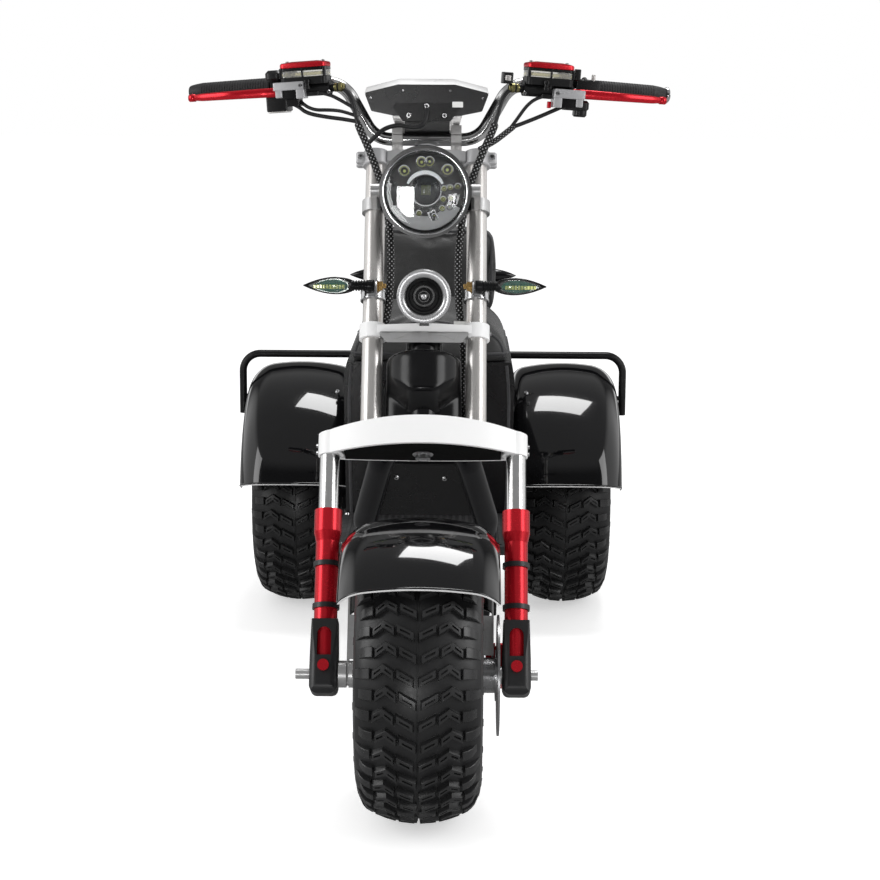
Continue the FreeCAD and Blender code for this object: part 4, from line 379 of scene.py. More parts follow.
NODE_FINISHES = {
    "frame": frame_black, "neck_cover": gloss_black, "front_panel": panel_black, "deck": mat_rubber,
    "battery_box": powder_black, "seat_box": panel_black, "rear_axle": powder_black,
    "shock_absorbers": cast_alloy, "rear_fenders": gloss_black, "guard_rail": powder_black,
    "rear_rack": powder_black, "tail_lamp": red_lens, "rear_signals": housing_black,
    "crown": white_coat, "mid_yoke": white_coat, "top_yoke": cast_alloy, "inner_tubes": turned_tube,
    "stanchions": bar_steel, "fork_legs": red_anodised, "fork_feet": cast_black, "front_axle": brushed_plate,
    "front_fender": gloss_black, "front_caliper": red_anodised, "handlebar": bar_steel,
    "risers": riser_steel, "grips": grip_rubber, "master_cylinders": powder_black,
    "reservoirs": red_anodised, "brake_levers": red_anodised, "switch_pods": housing_black,
    "dash": housing_black, "headlamp_shell": lamp_black, "headlamp_lens": clear_glass,
    "horn": housing_black, "front_signals": housing_black, "cable_harness": sleeve,
    "front_rim": cast_alloy, "front_disc": turned_disc, "rear_rim_left": cast_alloy,
    "rear_rim_right": cast_alloy, "front_tyre": groove_shaded_tyre_rubber, "rear_tyre_left": groove_shaded_tyre_rubber,
    "rear_tyre_right": groove_shaded_tyre_rubber, "seat": seat_leather, "backrest": seat_leather,
}


def finish_nodes():
    for name, finish in NODE_FINISHES.items():
        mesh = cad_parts[name].data
        mesh.materials.clear()
        mesh.materials.append(finish.material)


# Shapes -----------------------------------------------------------------------


def ring_frame(axis):
    """Two directions square to an axis."""
    axis = axis.normalized()
    first = axis.cross(UP if abs(axis.z) < 0.9 else LEFT).normalized()
    return first, axis.cross(first)


def lathe(shape, profile, centre, axis, sides=48, finish=0, closed=False):
    """Turns a profile of (radius, distance along the axis) in millimetres about the axis."""
    axis = axis.normalized()
    first, second = ring_frame(axis)
    rings = []
    for radius, along in profile:
        radius, middle = radius * MM, centre + axis * (along * MM)
        if radius < 1e-6:
            rings.append([shape.verts.new(middle)])
            continue
        ring = []
        for step in range(sides):
            angle = math.tau * step / sides
            ring.append(shape.verts.new(middle + (first * math.cos(angle) + second * math.sin(angle)) * radius))
        rings.append(ring)
    spans = list(zip(rings, rings[1:]))
    if closed:
        spans.append((rings[-1], rings[0]))
    for low, high in spans:
        for step in range(sides):
            after = (step + 1) % sides
            corners = [low[step % len(low)], low[after % len(low)], high[after % len(high)],
                high[step % len(high)]]
            unique = list(dict.fromkeys(corners))
            if len(unique) > 2:
                shape.faces.new(unique).material_index = finish


def loft(shape, rings, finish=0):
    """A closed shell over rings of points, all with the same count."""
    rows = [[shape.verts.new(point) for point in ring] for ring in rings]
    count = len(rows[0])
    for low, high in zip(rows, rows[1:]):
        for step in range(count):
            after = (step + 1) % count
            shape.faces.new([low[step], low[after], high[after], high[step]]).material_index = finish
    shape.faces.new(list(reversed(rows[0]))).material_index = finish
    shape.faces.new(rows[-1]).material_index = finish


def round_corners(low, high, corner, steps=5):
    """A rectangle with round corners, as flat points in turn."""
    points = []
    for x, y, start in (
        (high[0] - corner, high[1] - corner, 0), (low[0] + corner, high[1] - corner, 90),
        (low[0] + corner, low[1] + corner, 180), (high[0] - corner, low[1] + corner, 270),
    ):
        for step in range(steps + 1):
            angle = math.radians(start + 90 * step / steps)
            points.append((x + corner * math.cos(angle), y + corner * math.sin(angle)))
    return points


def moulded(shape, place, across, deep, tall, corner=2.5, edge=0.8, finish=0):
    """A moulded block with round corners and softened rims; place turns three sizes into a point."""
    rings = []
    for level, inset in ((tall[0], edge), (tall[0] + edge, 0), (tall[1] - edge, 0), (tall[1], edge)):
        flat = round_corners(
            (across[0] + inset, deep[0] + inset), (across[1] - inset, deep[1] - inset),
            max(corner - inset, 0.2))
        rings.append([place(a, b, level) for a, b in flat])
    loft(shape, rings, finish)


FACES = {}


def touch(node, start, direction):
    """Where a line meets a CAD piece, and the way that its surface looks there."""
    if node not in FACES:
        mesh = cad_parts[node].data
        FACES[node] = BVHTree.FromPolygons([v.co for v in mesh.vertices], [p.vertices for p in mesh.polygons])
    spot, normal, _, _ = FACES[node].ray_cast(start, direction)
    if spot is None:
        raise SystemExit("the line misses " + node)
    if normal.dot(direction) > 0:
        normal = -normal
    return spot, normal


def slab(shape, outline, along, finish=0, chamfer=0.0):
    """A flat plate: its outline, and how far it stands along a direction, with its far edge chamfered."""
    middle = sum(outline, Vector()) / len(outline)
    layers = [list(outline)]
    reach = along.length
    if chamfer:
        layers.append([point + along * (1 - chamfer / reach) for point in outline])
        inner = []
        for point in outline:
            inward = middle - point
            inner.append(point + inward.normalized() * chamfer + along)
        layers.append(inner)
    else:
        layers.append([point + along for point in outline])
    loft(shape, layers, finish)


def tube(shape, points, radius, sides=12, finish=0, bare=None):
    """A round tube through points, with u along it and v round it; bare is the length, radius and
    finish of a first stretch without its sleeve."""
    layer = shape.loops.layers.uv.verify()
    radii, finishes = [], []
    rings, lengths = [], [0.0]
    direction = (points[1] - points[0]).normalized()
    first, second = ring_frame(direction)
    for index, point in enumerate(points):
        before, after = points[max(index - 1, 0)], points[min(index + 1, len(points) - 1)]
        turned = (after - before).normalized()
        spin = direction.rotation_difference(turned)
        first, second = spin @ first, spin @ second
        direction = turned
        if index:
            lengths.append(lengths[-1] + (point - points[index - 1]).length)
        thin = bare and lengths[-1] < bare[0]
        radii.append(bare[1] if thin else radius)
        finishes.append(bare[2] if thin else finish)
        ring = []
        for step in range(sides):
            angle = math.tau * step / sides
            spoke = first * math.cos(angle) + second * math.sin(angle)
            ring.append(shape.verts.new(point + spoke * radii[-1]))
        rings.append(ring)
    for index in range(len(rings) - 1):
        for step in range(sides):
            after = (step + 1) % sides
            face = shape.faces.new([rings[index][step], rings[index][after], rings[index + 1][after],
                rings[index + 1][step]])
            face.material_index = finishes[index]
            for loop, (place, turn) in zip(face.loops, ((0, 0), (0, 1), (1, 1), (1, 0))):
                loop[layer].uv = (lengths[index + place] / (radius * 2), (step + turn) / sides * 3)
    shape.faces.new(list(reversed(rings[0]))).material_index = finish
    shape.faces.new(rings[-1]).material_index = finish


def as_mesh(shape, name):
    """Makes a bmesh a mesh whose faces point outward."""
    bmesh.ops.recalc_face_normals(shape, faces=shape.faces)
    mesh = bpy.data.meshes.new(name)
    shape.to_mesh(mesh)
    shape.free()
    return mesh


def in_scene(name, data):
    made = bpy.data.objects.new(name, data)
    bpy.context.scene.collection.objects.link(made)
    return made


def finished(name, shape, finishes, body, sharp):
    return placed(name, as_mesh(shape, name), finishes, body, sharp)


def placed(name, mesh, finishes, body, sharp):
    """Puts a mesh in the scene on its body, shaded smooth but for edges sharper than the angle."""
    for finish in finishes:
        mesh.materials.append(finish.material)
    for layer in mesh.uv_layers:
        layer.name = "UVMap"
    mesh.shade_smooth()
    mesh.set_sharp_from_angle(angle=math.radians(sharp))
    made = in_scene(name, mesh)
    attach(made, body)
    return made


def plain_mesh(made, name):
    """What an object's modifiers give, as a mesh of its own; the object goes."""
    bpy.context.view_layer.update()
    evaluated = made.evaluated_get(bpy.context.evaluated_depsgraph_get())
    mesh = bpy.data.meshes.new_from_object(evaluated)
    mesh.name = name
    bpy.data.objects.remove(made)
    return mesh


# Geometry trees ------------------------------------------------------------------


class Tree:
    """A geometry tree that is built node by node, with named inputs."""

    def __init__(self, name, inputs):
        self.group = bpy.data.node_groups.new(name, "GeometryNodeTree")
        self.sockets = {}
        face = self.group.interface
        face.new_socket("Geometry", in_out="INPUT", socket_type="NodeSocketGeometry")
        for label, kind in inputs.items():
            socket = face.new_socket(label, in_out="INPUT", socket_type="NodeSocket" + kind)
            self.sockets[label] = socket.identifier
        face.new_socket("Geometry", in_out="OUTPUT", socket_type="NodeSocketGeometry")
        self.entry = self.group.nodes.new("NodeGroupInput")
        self.exit = self.group.nodes.new("NodeGroupOutput")

    def add(self, kind, settings=None, **values):
        made = self.group.nodes.new(kind)
        for name, value in (settings or {}).items():
            setattr(made, name, value)
        for name, value in values.items():
            self.set(made.inputs[name.replace("_", " ")], value)
        return made

    def set(self, socket, value):
        if isinstance(value, bpy.types.NodeSocket):
            self.group.links.new(value, socket)
        else:
            socket.default_value = value

    def math(self, operation, first, second=0.0):
        made = self.group.nodes.new("ShaderNodeMath")
        made.operation = operation
        self.set(made.inputs[0], first)
        self.set(made.inputs[1], second)
        return made.outputs[0]

    def given(self, label):
        return self.entry.outputs[label]

    def finish(self, geometry):
        """Ends the tree: instances realized and the material set."""
        real = self.add("GeometryNodeRealizeInstances", Geometry=geometry)
        painted = self.add("GeometryNodeSetMaterial", Geometry=real.outputs[0], Material=self.given("Material"))
        self.group.links.new(painted.outputs[0], self.exit.inputs[0])

    def run(self, mesh, name, **values):
        """Runs the tree on a mesh with these inputs and gives a plain mesh."""
        made = in_scene(name, mesh)
        modifier = made.modifiers.new(name, "NODES")
        modifier.node_group = self.group
        for label, value in values.items():
            modifier[self.sockets[label.replace("_", " ")]] = value
        return plain_mesh(made, name)


def tread_tree():
    """Repeats one flat row of lugs round a tyre and wraps it on the crowned tread."""
    tree = Tree("tread", {
        "Rows": "Int", "Radius": "Float", "Crown": "Float", "Wobble": "Float", "Centre": "Vector",
        "Material": "Material"})
    pitch = tree.math("DIVIDE", tree.math("MULTIPLY", tree.given("Radius"), math.tau), tree.given("Rows"))
    step = tree.add("ShaderNodeCombineXYZ", Y=pitch)
    rows = tree.add("GeometryNodeMeshLine", {"mode": "OFFSET"}, Count=tree.given("Rows"),
        Offset=step.outputs[0])
    odd = tree.math("MODULO", tree.add("GeometryNodeInputIndex").outputs[0], 2)
    shift = tree.math("MULTIPLY", tree.math("SUBTRACT", odd, 0.5), tree.given("Wobble"))
    aside = tree.add("ShaderNodeCombineXYZ", X=shift)
    moved = tree.add("GeometryNodeSetPosition", Geometry=rows.outputs[0], Offset=aside.outputs[0])
    lugs = tree.add("GeometryNodeInstanceOnPoints", Points=moved.outputs[0], Instance=tree.given("Geometry"))
    real = tree.add("GeometryNodeRealizeInstances", Geometry=lugs.outputs[0])
    spot = tree.add("ShaderNodeSeparateXYZ", Vector=tree.add("GeometryNodeInputPosition").outputs[0])
    across, along, height = spot.outputs
    crown = tree.given("Crown")
    drop = tree.math("SUBTRACT", tree.math("MULTIPLY", crown, crown), tree.math("MULTIPLY", across, across))
    level = tree.math("ADD", tree.math("SUBTRACT", tree.given("Radius"), crown), tree.math("SQRT", drop))
    reach = tree.math("ADD", level, height)
    angle = tree.math("DIVIDE", along, tree.given("Radius"))
    ahead = tree.math("MULTIPLY", tree.math("MULTIPLY", reach, tree.math("COSINE", angle)), -1)
    up = tree.math("MULTIPLY", reach, tree.math("SINE", angle))
    round_spot = tree.add("ShaderNodeCombineXYZ", X=across, Y=ahead, Z=up)
    world = tree.add("ShaderNodeVectorMath", {"operation": "ADD"})
    tree.set(world.inputs[0], round_spot.outputs[0])
    tree.set(world.inputs[1], tree.given("Centre"))
    wrapped = tree.add("GeometryNodeSetPosition", Geometry=real.outputs[0], Position=world.outputs[0])
    tree.finish(wrapped.outputs[0])
    return tree


def spring_tree():
    """A coil spring: a helix with a round wire."""
    tree = Tree("coil_spring", {
        "Turns": "Float", "Height": "Float", "Radius": "Float", "Wire": "Float", "Foot": "Vector",
        "Material": "Material"})
    helix = tree.add("GeometryNodeCurveSpiral", Resolution=24, Rotations=tree.given("Turns"),
        Height=tree.given("Height"))
    tree.set(helix.inputs["Start Radius"], tree.given("Radius"))
    tree.set(helix.inputs["End Radius"], tree.given("Radius"))
    wire = tree.add("GeometryNodeCurvePrimitiveCircle", Resolution=10, Radius=tree.given("Wire"))
    coil = tree.add("GeometryNodeCurveToMesh", Curve=helix.outputs[0])
    tree.set(coil.inputs["Profile Curve"], wire.outputs[0])
    tree.set(coil.inputs["Fill Caps"], True)
    moved = tree.add("GeometryNodeTransform", Geometry=coil.outputs[0], Translation=tree.given("Foot"))
    tree.finish(moved.outputs[0])
    return tree


def screw_tree():
    """A button-head screw on every point, turned to the point's aim, with a flat near-black hexagon disc on its
    head as painted shade of the socket recess.
    """
    tree = Tree("screws", {"Head": "Float", "Height": "Float", "Material": "Material", "Socket": "Material"})
    head, height = tree.given("Head"), tree.given("Height")
    cone = tree.add("GeometryNodeMeshCone", Vertices=20, Depth=height)
    tree.set(cone.inputs["Radius Bottom"], head)
    tree.set(cone.inputs["Radius Top"], tree.math("MULTIPLY", head, 0.72))
    # The socket is a flat hexagon disc on the head, not a recess: painted shade.
    dark = tree.add(
        "GeometryNodeMeshCylinder", Vertices=6, Radius=tree.math("MULTIPLY", head, 0.42),
        Depth=tree.math("MULTIPLY", height, 0.1))
    lift = tree.add("ShaderNodeCombineXYZ", Z=height)
    raised = tree.add("GeometryNodeTransform", Geometry=dark.outputs[0], Translation=lift.outputs[0])
    marked = tree.add("GeometryNodeStoreNamedAttribute", {"data_type": "BOOLEAN", "domain": "FACE"},
        Geometry=raised.outputs[0], Name="hollow", Value=True)
    both = tree.add("GeometryNodeJoinGeometry")
    tree.group.links.new(marked.outputs[0], both.inputs[0])
    tree.group.links.new(cone.outputs[0], both.inputs[0])
    aim = tree.add("GeometryNodeInputNamedAttribute", {"data_type": "FLOAT_VECTOR"}, Name="aim")
    turn = tree.add("FunctionNodeAlignRotationToVector", {"axis": "Z"}, Vector=aim.outputs[0])
    screws = tree.add(
        "GeometryNodeInstanceOnPoints", Points=tree.given("Geometry"), Instance=both.outputs[0],
        Rotation=turn.outputs[0])
    real = tree.add("GeometryNodeRealizeInstances", Geometry=screws.outputs[0])
    steel = tree.add("GeometryNodeSetMaterial", Geometry=real.outputs[0], Material=tree.given("Material"))
    hollow = tree.add("GeometryNodeInputNamedAttribute", {"data_type": "BOOLEAN"}, Name="hollow")
    black = tree.add(
        "GeometryNodeSetMaterial", Geometry=steel.outputs[0], Selection=hollow.outputs[0],
        Material=tree.given("Socket"))
    tree.group.links.new(black.outputs[0], tree.exit.inputs[0])
    return tree


def screws(name, body, spots, head=4.0, height=3.0):
    """Button-head screws at (point, aim) pairs, as one plain mesh."""
    mesh = bpy.data.meshes.new(name)
    mesh.from_pydata([tuple(point) for point, _ in spots], [], [])
    aims = mesh.attributes.new("aim", "FLOAT_VECTOR", "POINT")
    for item, (_, aim) in zip(aims.data, spots):
        item.vector = aim
    made = SCREWS.run(
        mesh, name, Head=head * MM, Height=height * MM, Material=screw_steel.material,
        Socket=painted_socket_shade.material)
    return placed(name, made, [], body, 25)


SCREWS = screw_tree()


# Cables ----------------------------------------------------------------------------


def spline_path(points):
    """Points read from the smooth spline that a route's control points give."""
    curve = bpy.data.curves.new("route", "CURVE")
    curve.dimensions = "3D"
    curve.resolution_u = 10
    line = curve.splines.new("NURBS")
    line.points.add(len(points) - 1)
    for spot, point in zip(line.points, points):
        spot.co = (*point, 1)
    line.order_u = 3
    line.use_endpoint_u = True
    mesh = plain_mesh(in_scene("route", curve), "route")
    return [vertex.co.copy() for vertex in mesh.vertices]


def cable(name, points, radius, finishes, bare=None, node=None):
    """A cable on one smooth line, as a round tube."""
    path = spline_path(points)
    shape = bmesh.new()
    tube(shape, path, radius * MM, 12, 0, bare)
    made = finished(name, shape, finishes, "fork", 50)
    length = sum((end - start).length for start, end in zip(path, path[1:]))
    if node:
        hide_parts(node)
    tuple(path[0])
    [tuple(point) for point in path]


HARNESS_TOP = ((116, -52, 922), (100, -42, 890), (84, -36, 850), (66, -26, 800))
HARNESS_LEFT = ((54, -8, 710), (55, 10, 630), (62, 29, 580), (66, 35, 535), (62, 34, 480), (66, 30, 440),
    (76, 28, 403))
HARNESS_RIGHT = ((56, -8, 710), (58, 10, 630), (68, 29, 580), (88, 36, 535), (101, 24, 478), (96, 28, 446),
    (82, 28, 403))
LEADS = (
    (-1, 3.4, ((94, -24, -26), (73, -28, -35), (59, -30, -48), (20, -32, -57), (-10, -34, -62),
        (-35, -36, -68))),
    (-1, 3.0, ((71, -24, -26), (55, -30, -43), (11, -32, -45), (-12, -34, -50), (-33, -35, -59))),
    (-1, 3.0, ((36, -40, -14), (15, -42, -18), (-6, -38, -30), (-29, -34, -46))),
    (1, 3.4, ((84, -30, -33), (54, -32, -48), (24, -34, -62), (-4, -36, -74))),
    (1, 3.0, ((48, -40, -18), (34, -42, -22), (19, -38, -36), (6, -36, -58), (-4, -36, -73))),
    (1, 5.0, ((0, -36, -72), (-16, -37, -86), (-34, -38, -101), (-57, -39, -114))),
)
DASH_LEAD = (
    (0, 396, 1094), (2, 386, 1080), (-8, 380, 1062), (-30, 380, 1062), (-46, 382, 1066), (-70, 380, 1060),
    (-86, 377, 1046), (-100, 381, 1032),
)


def cables():
    for name, side, rest in (("left", 1, HARNESS_LEFT), ("right", -1, HARNESS_RIGHT)):
        points = [on_bar(side, -4.3, -32, -8), on_bar(side, -22, -32, -18)]
        points += [on_fork(level, side * across, behind) for across, behind, level in HARNESS_TOP + rest]
        cable("cable_harness_" + name, points, 6.4, [sleeve, wire_black], (0.07, 3.4 * MM, 1), "cable_harness")
        shape = bmesh.new()
        end, before = points[-1], points[-2]
        lathe(shape, (
            (6.5, 22), (7.4, 20), (8.0, 12), (9.8, 6), (10.8, 3), (10.8, -4), (6.5, -4)),
            end, before - end, 24, 0, True)
        finished("cable_grommet_" + name, shape, [grip_rubber], "fork", 40)
    for index, (side, radius, spots) in enumerate(LEADS):
        finish = sleeve if radius > 4 else wire_black
        cable("control_lead_%d" % index, [on_bar(side, *spot) for spot in spots], radius, [finish])
    cable("dash_lead", [at(*spot) for spot in DASH_LEAD], 3.8, [wire_black])
    shape = bmesh.new()
    route = ((-8, 290, 812), (-9, 284, 800), (-12, 280, 786), (-10, 276, 770), (-6, 276, 752))
    tube(shape, [at(*spot) for spot in route], 1.6 * MM, 8, 0)
    moulded(shape, at, (48, 72), (266, 282), (738, 749), 1.5, 0.8, 1)
    finished("horn_plug", shape, [orange_wire, white_plug], "fork", 40)


# Handlebar and dash -------------------------------------------------------------------


# Blocks on the bar beside the grip, as their reach along, behind and above the bar, the radius of
# their corners, the softening of their rims and the number of their finish
SWITCH_BLOCKS = {
    -1: (
        ((90, 127), (-38, -6), (-42, -15), 3, 1.4, 0),
        ((92, 125), (-36.5, -8), (-44.4, -41), 3, 0.8, 1),
        ((69, 104), (-36, -12), (-35, -22), 2.5, 1.0, 0),
        ((99, 128), (-36, -14), (8, 27), 9, 5.0, 0),
        ((89, 97), (-36, -27), (17, 37), 2, 1.0, 0),
        ((30, 50), (-46, -30), (-19, -12), 2.5, 1.0, 0),
    ),
    1: (
        ((84, 128), (-46, -10), (-38, -20), 8, 4.0, 0),
        ((104, 126), (-44, -18), (-48, -34), 9, 3.0, 0),
        ((101, 111), (-36, -26), (12, 31), 2, 1.0, 0),
        ((104, 148), (-34, -12), (-4, 14), 3, 1.2, 0),
        ((132, 138), (-33, -26), (-6, 24), 2, 1.0, 1),
        ((126, 129), (-33, -29), (-6, 13), 1, 0.5, 1),
        ((54, 60), (-46, -38), (-37, -26), 1.5, 0.8, 2),
        ((-26, -8), (-42, -26), (-2, 17), 3, 1.2, 0),
        ((-22, -12), (-43, -40), (3, 12), 2, 0.6, 1),
        ((42, 60), (-46, -30), (-22, -14), 2.5, 1.0, 0),
    ),
}
LEVER_ROOT = 98.3
LEVER_REACH = 158
GRIP_ROOT = 126.85
GRIP_REACH = 122
RIB_PITCH = 4.7


def blocks(shape, place, rows):
    for row in rows:
        moulded(shape, place, *row)


def brake_reservoir(name, place):
    """Clear tank with its fluid and its posts, under a domed lid."""
    shape = bmesh.new()
    rings = []
    for level, inset, crown in (
        (28, 1.0, 0), (28.8, 0, 0), (33, 0, 3.0), (34.6, 1.0, 3.4), (35.2, 4, 3.8), (35.4, 10, 4.2),
        (35.5, 17, 4.4),
    ):
        flat = round_corners((14 + inset, -53 + inset), (95 - inset, -11 - inset), max(9 - inset, 1.0))
        rings.append([place(a, b, level + crown * (1 - ((a - 54.5) / 42) ** 2)) for a, b in flat])
    loft(shape, rings, 0)
    posts = [(post, (-52.6, -44), (12.2, 28), 1.6, 0.6, 1)
             for post in ((14.2, 18.6), (90.4, 94.8), (52.6, 56.4))]
    blocks(shape, place, (
        ((16.5, 92.5), (-50.5, -13.5), (23.5, 28.2), 7, 0.6, 1),
        ((15, 94), (-52, -12), (12.2, 28), 8.5, 0.8, 2),
        ((18, 91), (-49, -15), (14.2, 20.4), 6.5, 0.8, 3),
        *posts,
        ((14.4, 94.6), (-52.4, -11.6), (22.8, 28), 8.5, 0.6, 1),
    ))
    made = finished("brake_reservoir_" + name, shape, [red_anodised, panel_black, clear_tank, amber_fluid],
        "fork", 35)
    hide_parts("reservoirs")


def lever_mount(name, place, shift, top, foot):
    """The silver holder of the lever, with its two arms and the dark block between them."""
    shape = bmesh.new()
    blocks(shape, place, (
        ((52 + shift, 107 + shift), (-56, -30), top, 3, 1.2, 0),
        ((52 + shift, 67 + shift), (-55.5, -34), (foot, top[0] + 1), 2, 1.0, 0),
        ((92 + shift, 104 + shift), (-54, -34), (foot + 3, top[0] + 1), 2, 1.0, 0),
        ((66 + shift, 93 + shift), (-50, -36), (foot + 1, top[0] + 0.5), 1.5, 0.6, 1),
    ))
    finished("lever_mount_" + name, shape, [mount_silver, panel_black], "fork", 35)


def hose_union(name, side, place):
    """The ribbed union of the brake hose and the adjuster beside it."""
    shape = bmesh.new()
    inward = -bar_axes(side)[0]
    lathe(shape, (
        (3.4, -9), (7.4, -9), (7.6, -8), (7.6, -4), (5.2, -3.4), (5.2, -1.6), (7.9, -1), (7.9, 4.2), (6.2, 5),
        (6.0, 8), (3.6, 9)), place(-4, -32, -8), inward, 24, 0, True)
    lathe(shape, (
        (0, -1), (5.4, -1), (5.4, 3), (4.2, 3.4), (4.2, 9), (5.8, 9.6), (5.8, 14), (4.6, 15.2), (0, 15.6)),
        place(46, -55, -7), bar_axes(side)[2], 20, 1)
    finished("hose_union_" + name, shape, [olive_nut, panel_black], "fork", 30)


def brake_lever(name, place):
    """The bowed blade with its finger waves, the ball at its tip and its pivot."""
    shape = bmesh.new()
    rings = []
    for step in range(37):
        share = step / 36
        along, ahead = LEVER_ROOT + LEVER_REACH * share, 34.2 + 44 * (1.72 * share - 1.6 * share * share)
        thin = 1 - 0.24 * share - 0.2 * max(0, share - 0.88) / 0.12
        wide = (7.2 + 0.9 * math.sin(share * 15)) * thin
        tall = 8.2 * thin
        ring = []
        for spoke in range(16):
            turn = math.tau * spoke / 16
            a, b = (math.copysign(abs(wave) ** 0.6, wave) for wave in (math.cos(turn), math.sin(turn)))
            ring.append(place(along, -ahead + wide * a, -10 + tall * b))
        rings.append(ring)
    loft(shape, rings, 0)
    foot, tip = place(257.5, -39.6, -17), place(257.5, -39.6, -3)
    lathe(shape, (
        (0, 0.6), (5, 0.6), (7.2, 2.4), (8, 5), (8, 9), (7.2, 11.6), (5, 13.4), (0, 13.4)),
        foot, tip - foot, 28, 0)
    lathe(shape, (
        (0, -0.4), (8.2, -0.4), (9, 0.6), (9, 12.6), (8.2, 13.6), (0, 13.6)),
        place(101, -36.5, -17), tip - foot, 28, 0)
    made = finished("brake_lever_" + name, shape, [red_anodised], "fork", 40)
    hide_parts("brake_levers")


def ribbed_grip(name, side, place):
    """The rubber grip: its collar, its ribs and its round end."""
    shape = bmesh.new()
    ribs = [(0, -0.5), (19, -0.5), (19.5, 0.5), (19.5, 3), (18.5, 4), (15.6, 5)]
    step = 6.5
    while step < GRIP_REACH:
        swell = 15.9 - 0.7 * (step / GRIP_REACH) ** 2
        ribs += [(swell, step), (swell, step + 2.6), (swell - 0.8, step + 3.1), (swell - 0.8, step + 4.2)]
        ribs.append((swell, step + RIB_PITCH))
        step += RIB_PITCH
    ribs += [(14.6, 130), (13.6, 138), (12.4, 144), (11.6, 147.4), (10.2, 149), (0, 149.4)]
    lathe(shape, ribs, place(GRIP_ROOT, 0, 0), bar_axes(side)[0], 28, 0)
    made = finished("ribbed_grip_" + name, shape, [grip_rubber], "fork", 30)
    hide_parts("grips")


def lever_group(side):
    """Reservoir, lever with its mount, switch boxes, hose union and grip of one bar end."""
    name = hand(side)

    def place(along, behind, up):
        return on_bar(side, along, behind, up)

    shift, top, foot = (0, (-8, 5.5), -23) if side < 0 else (9, (-19, -4), -35)
    brake_reservoir(name, place)
    lever_mount(name, place, shift, top, foot)
    shape = bmesh.new()
    blocks(shape, place, SWITCH_BLOCKS[side])
    finished("switch_box_" + name, shape, [housing_black, turned_tube, red_anodised], "fork", 35)
    hose_union(name, side, place)
    brake_lever(name, place)
    behind, up = bar_axes(side)[1:]
    spots = [(place(101, -36.5, -3.4), up), (place(23, -32, 37.2), up), (place(86, -32, 37.2), up)]
    spots += [(place(12, -45, -15), -behind), (place(58 + shift, -56, (top[0] + top[1]) / 2), -behind)]
    screws("bar_screws_" + name, "fork", spots, 3.6, 2.4)
    ribbed_grip(name, side, place)
    if side > 0:
        shape = bmesh.new()
        lathe(shape, ((0, 0), (13, 0), (13.6, 1), (13.6, 4), (11, 6.4), (6, 7.4), (0, 7.6)),
              place(275.5, 0, 0), bar_axes(side)[0], 28, 0)
        finished("bar_end_cap", shape, [chrome], "fork", 40)


def dash_trim():
    """Screws, blank label, lower bracket and the rider's screen of the dash, and a pale shell on its top edge
    that is a painted highlight.
    """
    small, large = [], []
    for x, z in ((-94, 1110), (-39.5, 1122), (39.5, 1122), (94, 1110)):
        spot, normal = touch("dash", at(x, 300, z), -AHEAD)
        small.append((spot, normal))
    shape = bmesh.new()
    outline = [(-52, 1101), (52, 1101), (56, 1094), (40, 1071), (-40, 1071), (-56, 1094)]
    slab(shape, [at(x, 399, z) for x, z in outline], Vector((0, -3.4, 0)) * MM, 0, 0.8 * MM)
    finished("dash_bracket_plate", shape, [panel_black], "fork", 30)
    # A pale shell along the dash's top edge: painted highlight.
    shape = bmesh.new()
    rings = []
    for share in (0, 0.25, 0.5, 0.75, 1):
        y, lift, low = 398.6 + 26 * share, 9.0 * math.sin(share * math.pi / 2), 0.6 + 4 * share
        line = ((-104 + 3 * share, 1118.2), (-48 + 2 * share, 1132.2), (48 - 2 * share, 1132.2),
            (104 - 3 * share, 1118.2))
        rings.append([at(x, y, z + lift) for x, z in line] + [at(x, y, z - low) for x, z in reversed(line)])
    loft(shape, rings, 0)
    finished("dash_brow_painted_highlight", shape, [brow_painted_highlight], "fork", 30)
    for x, z in ((0, 1097), (-30, 1081), (30, 1081)):
        large.append((at(x, 395.4, z), AHEAD))
    screws("dash_small_screws", "fork", small, 2.3, 1.2)
    screws("dash_large_screws", "fork", large, 5.6, 3.6)
    shape = bmesh.new()
    moulded(shape, lambda a, b, c: at(a, 396.6 - c, b), (43, 61), (1094.5, 1104), (0, 1.2), 1, 0.2, 0)
    finished("dash_blank_label", shape, [blank_label], "fork", 30)
    shape = bmesh.new()
    moulded(shape, lambda a, b, c: at(a, 466 + c, b), (-72, 72), (1092, 1121), (0, 3.2), 5, 0.8, 0)
    finished("dash_screen", shape, [gloss_black], "fork", 30)


# Lamps ----------------------------------------------------------------------------------


def about_lamp(across, up, ahead):
    return at(across, LAMP_FRONT - ahead, LAMP_HEIGHT + up)


def ring_band(shape, inner, outer, start, end, foot, top, finish, steps=22):
    """A flat band on part of a circle round the lamp's axis."""
    rings = []
    for step in range(steps + 1):
        angle = math.radians(start + (end - start) * step / steps)
        narrow = 1 - 0.45 * abs(step / steps * 2 - 1) ** 3
        middle, half = (inner + outer) / 2, (outer - inner) / 2 * narrow
        corners = ((middle - half, foot), (middle - half * 0.8, top), (middle + half * 0.8, top),
            (middle + half, foot))
        rings.append([about_lamp(r * math.cos(angle), r * math.sin(angle), ahead) for r, ahead in corners])
    loft(shape, rings, finish)


def lamp_cup(shape, across, up, radius, depth, cup=2, chip=3):
    lathe(shape, (
        (0, -depth), (radius * 0.45, -depth), (radius * 0.9, -0.8), (radius * 0.97, 0), (radius + 1.2, 0.2),
        (radius + 1.2, -depth - 1.5), (0, -depth - 1.5)), about_lamp(across, up, -12), AHEAD, 28, cup)
    lathe(shape, (
        (0, -depth + 0.1), (radius * 0.36, -depth + 0.1), (radius * 0.33, -depth + 1.6),
        (radius * 0.2, -depth + 2.6), (0, -depth + 3)),
        about_lamp(across, up, -12), AHEAD, 20, chip)


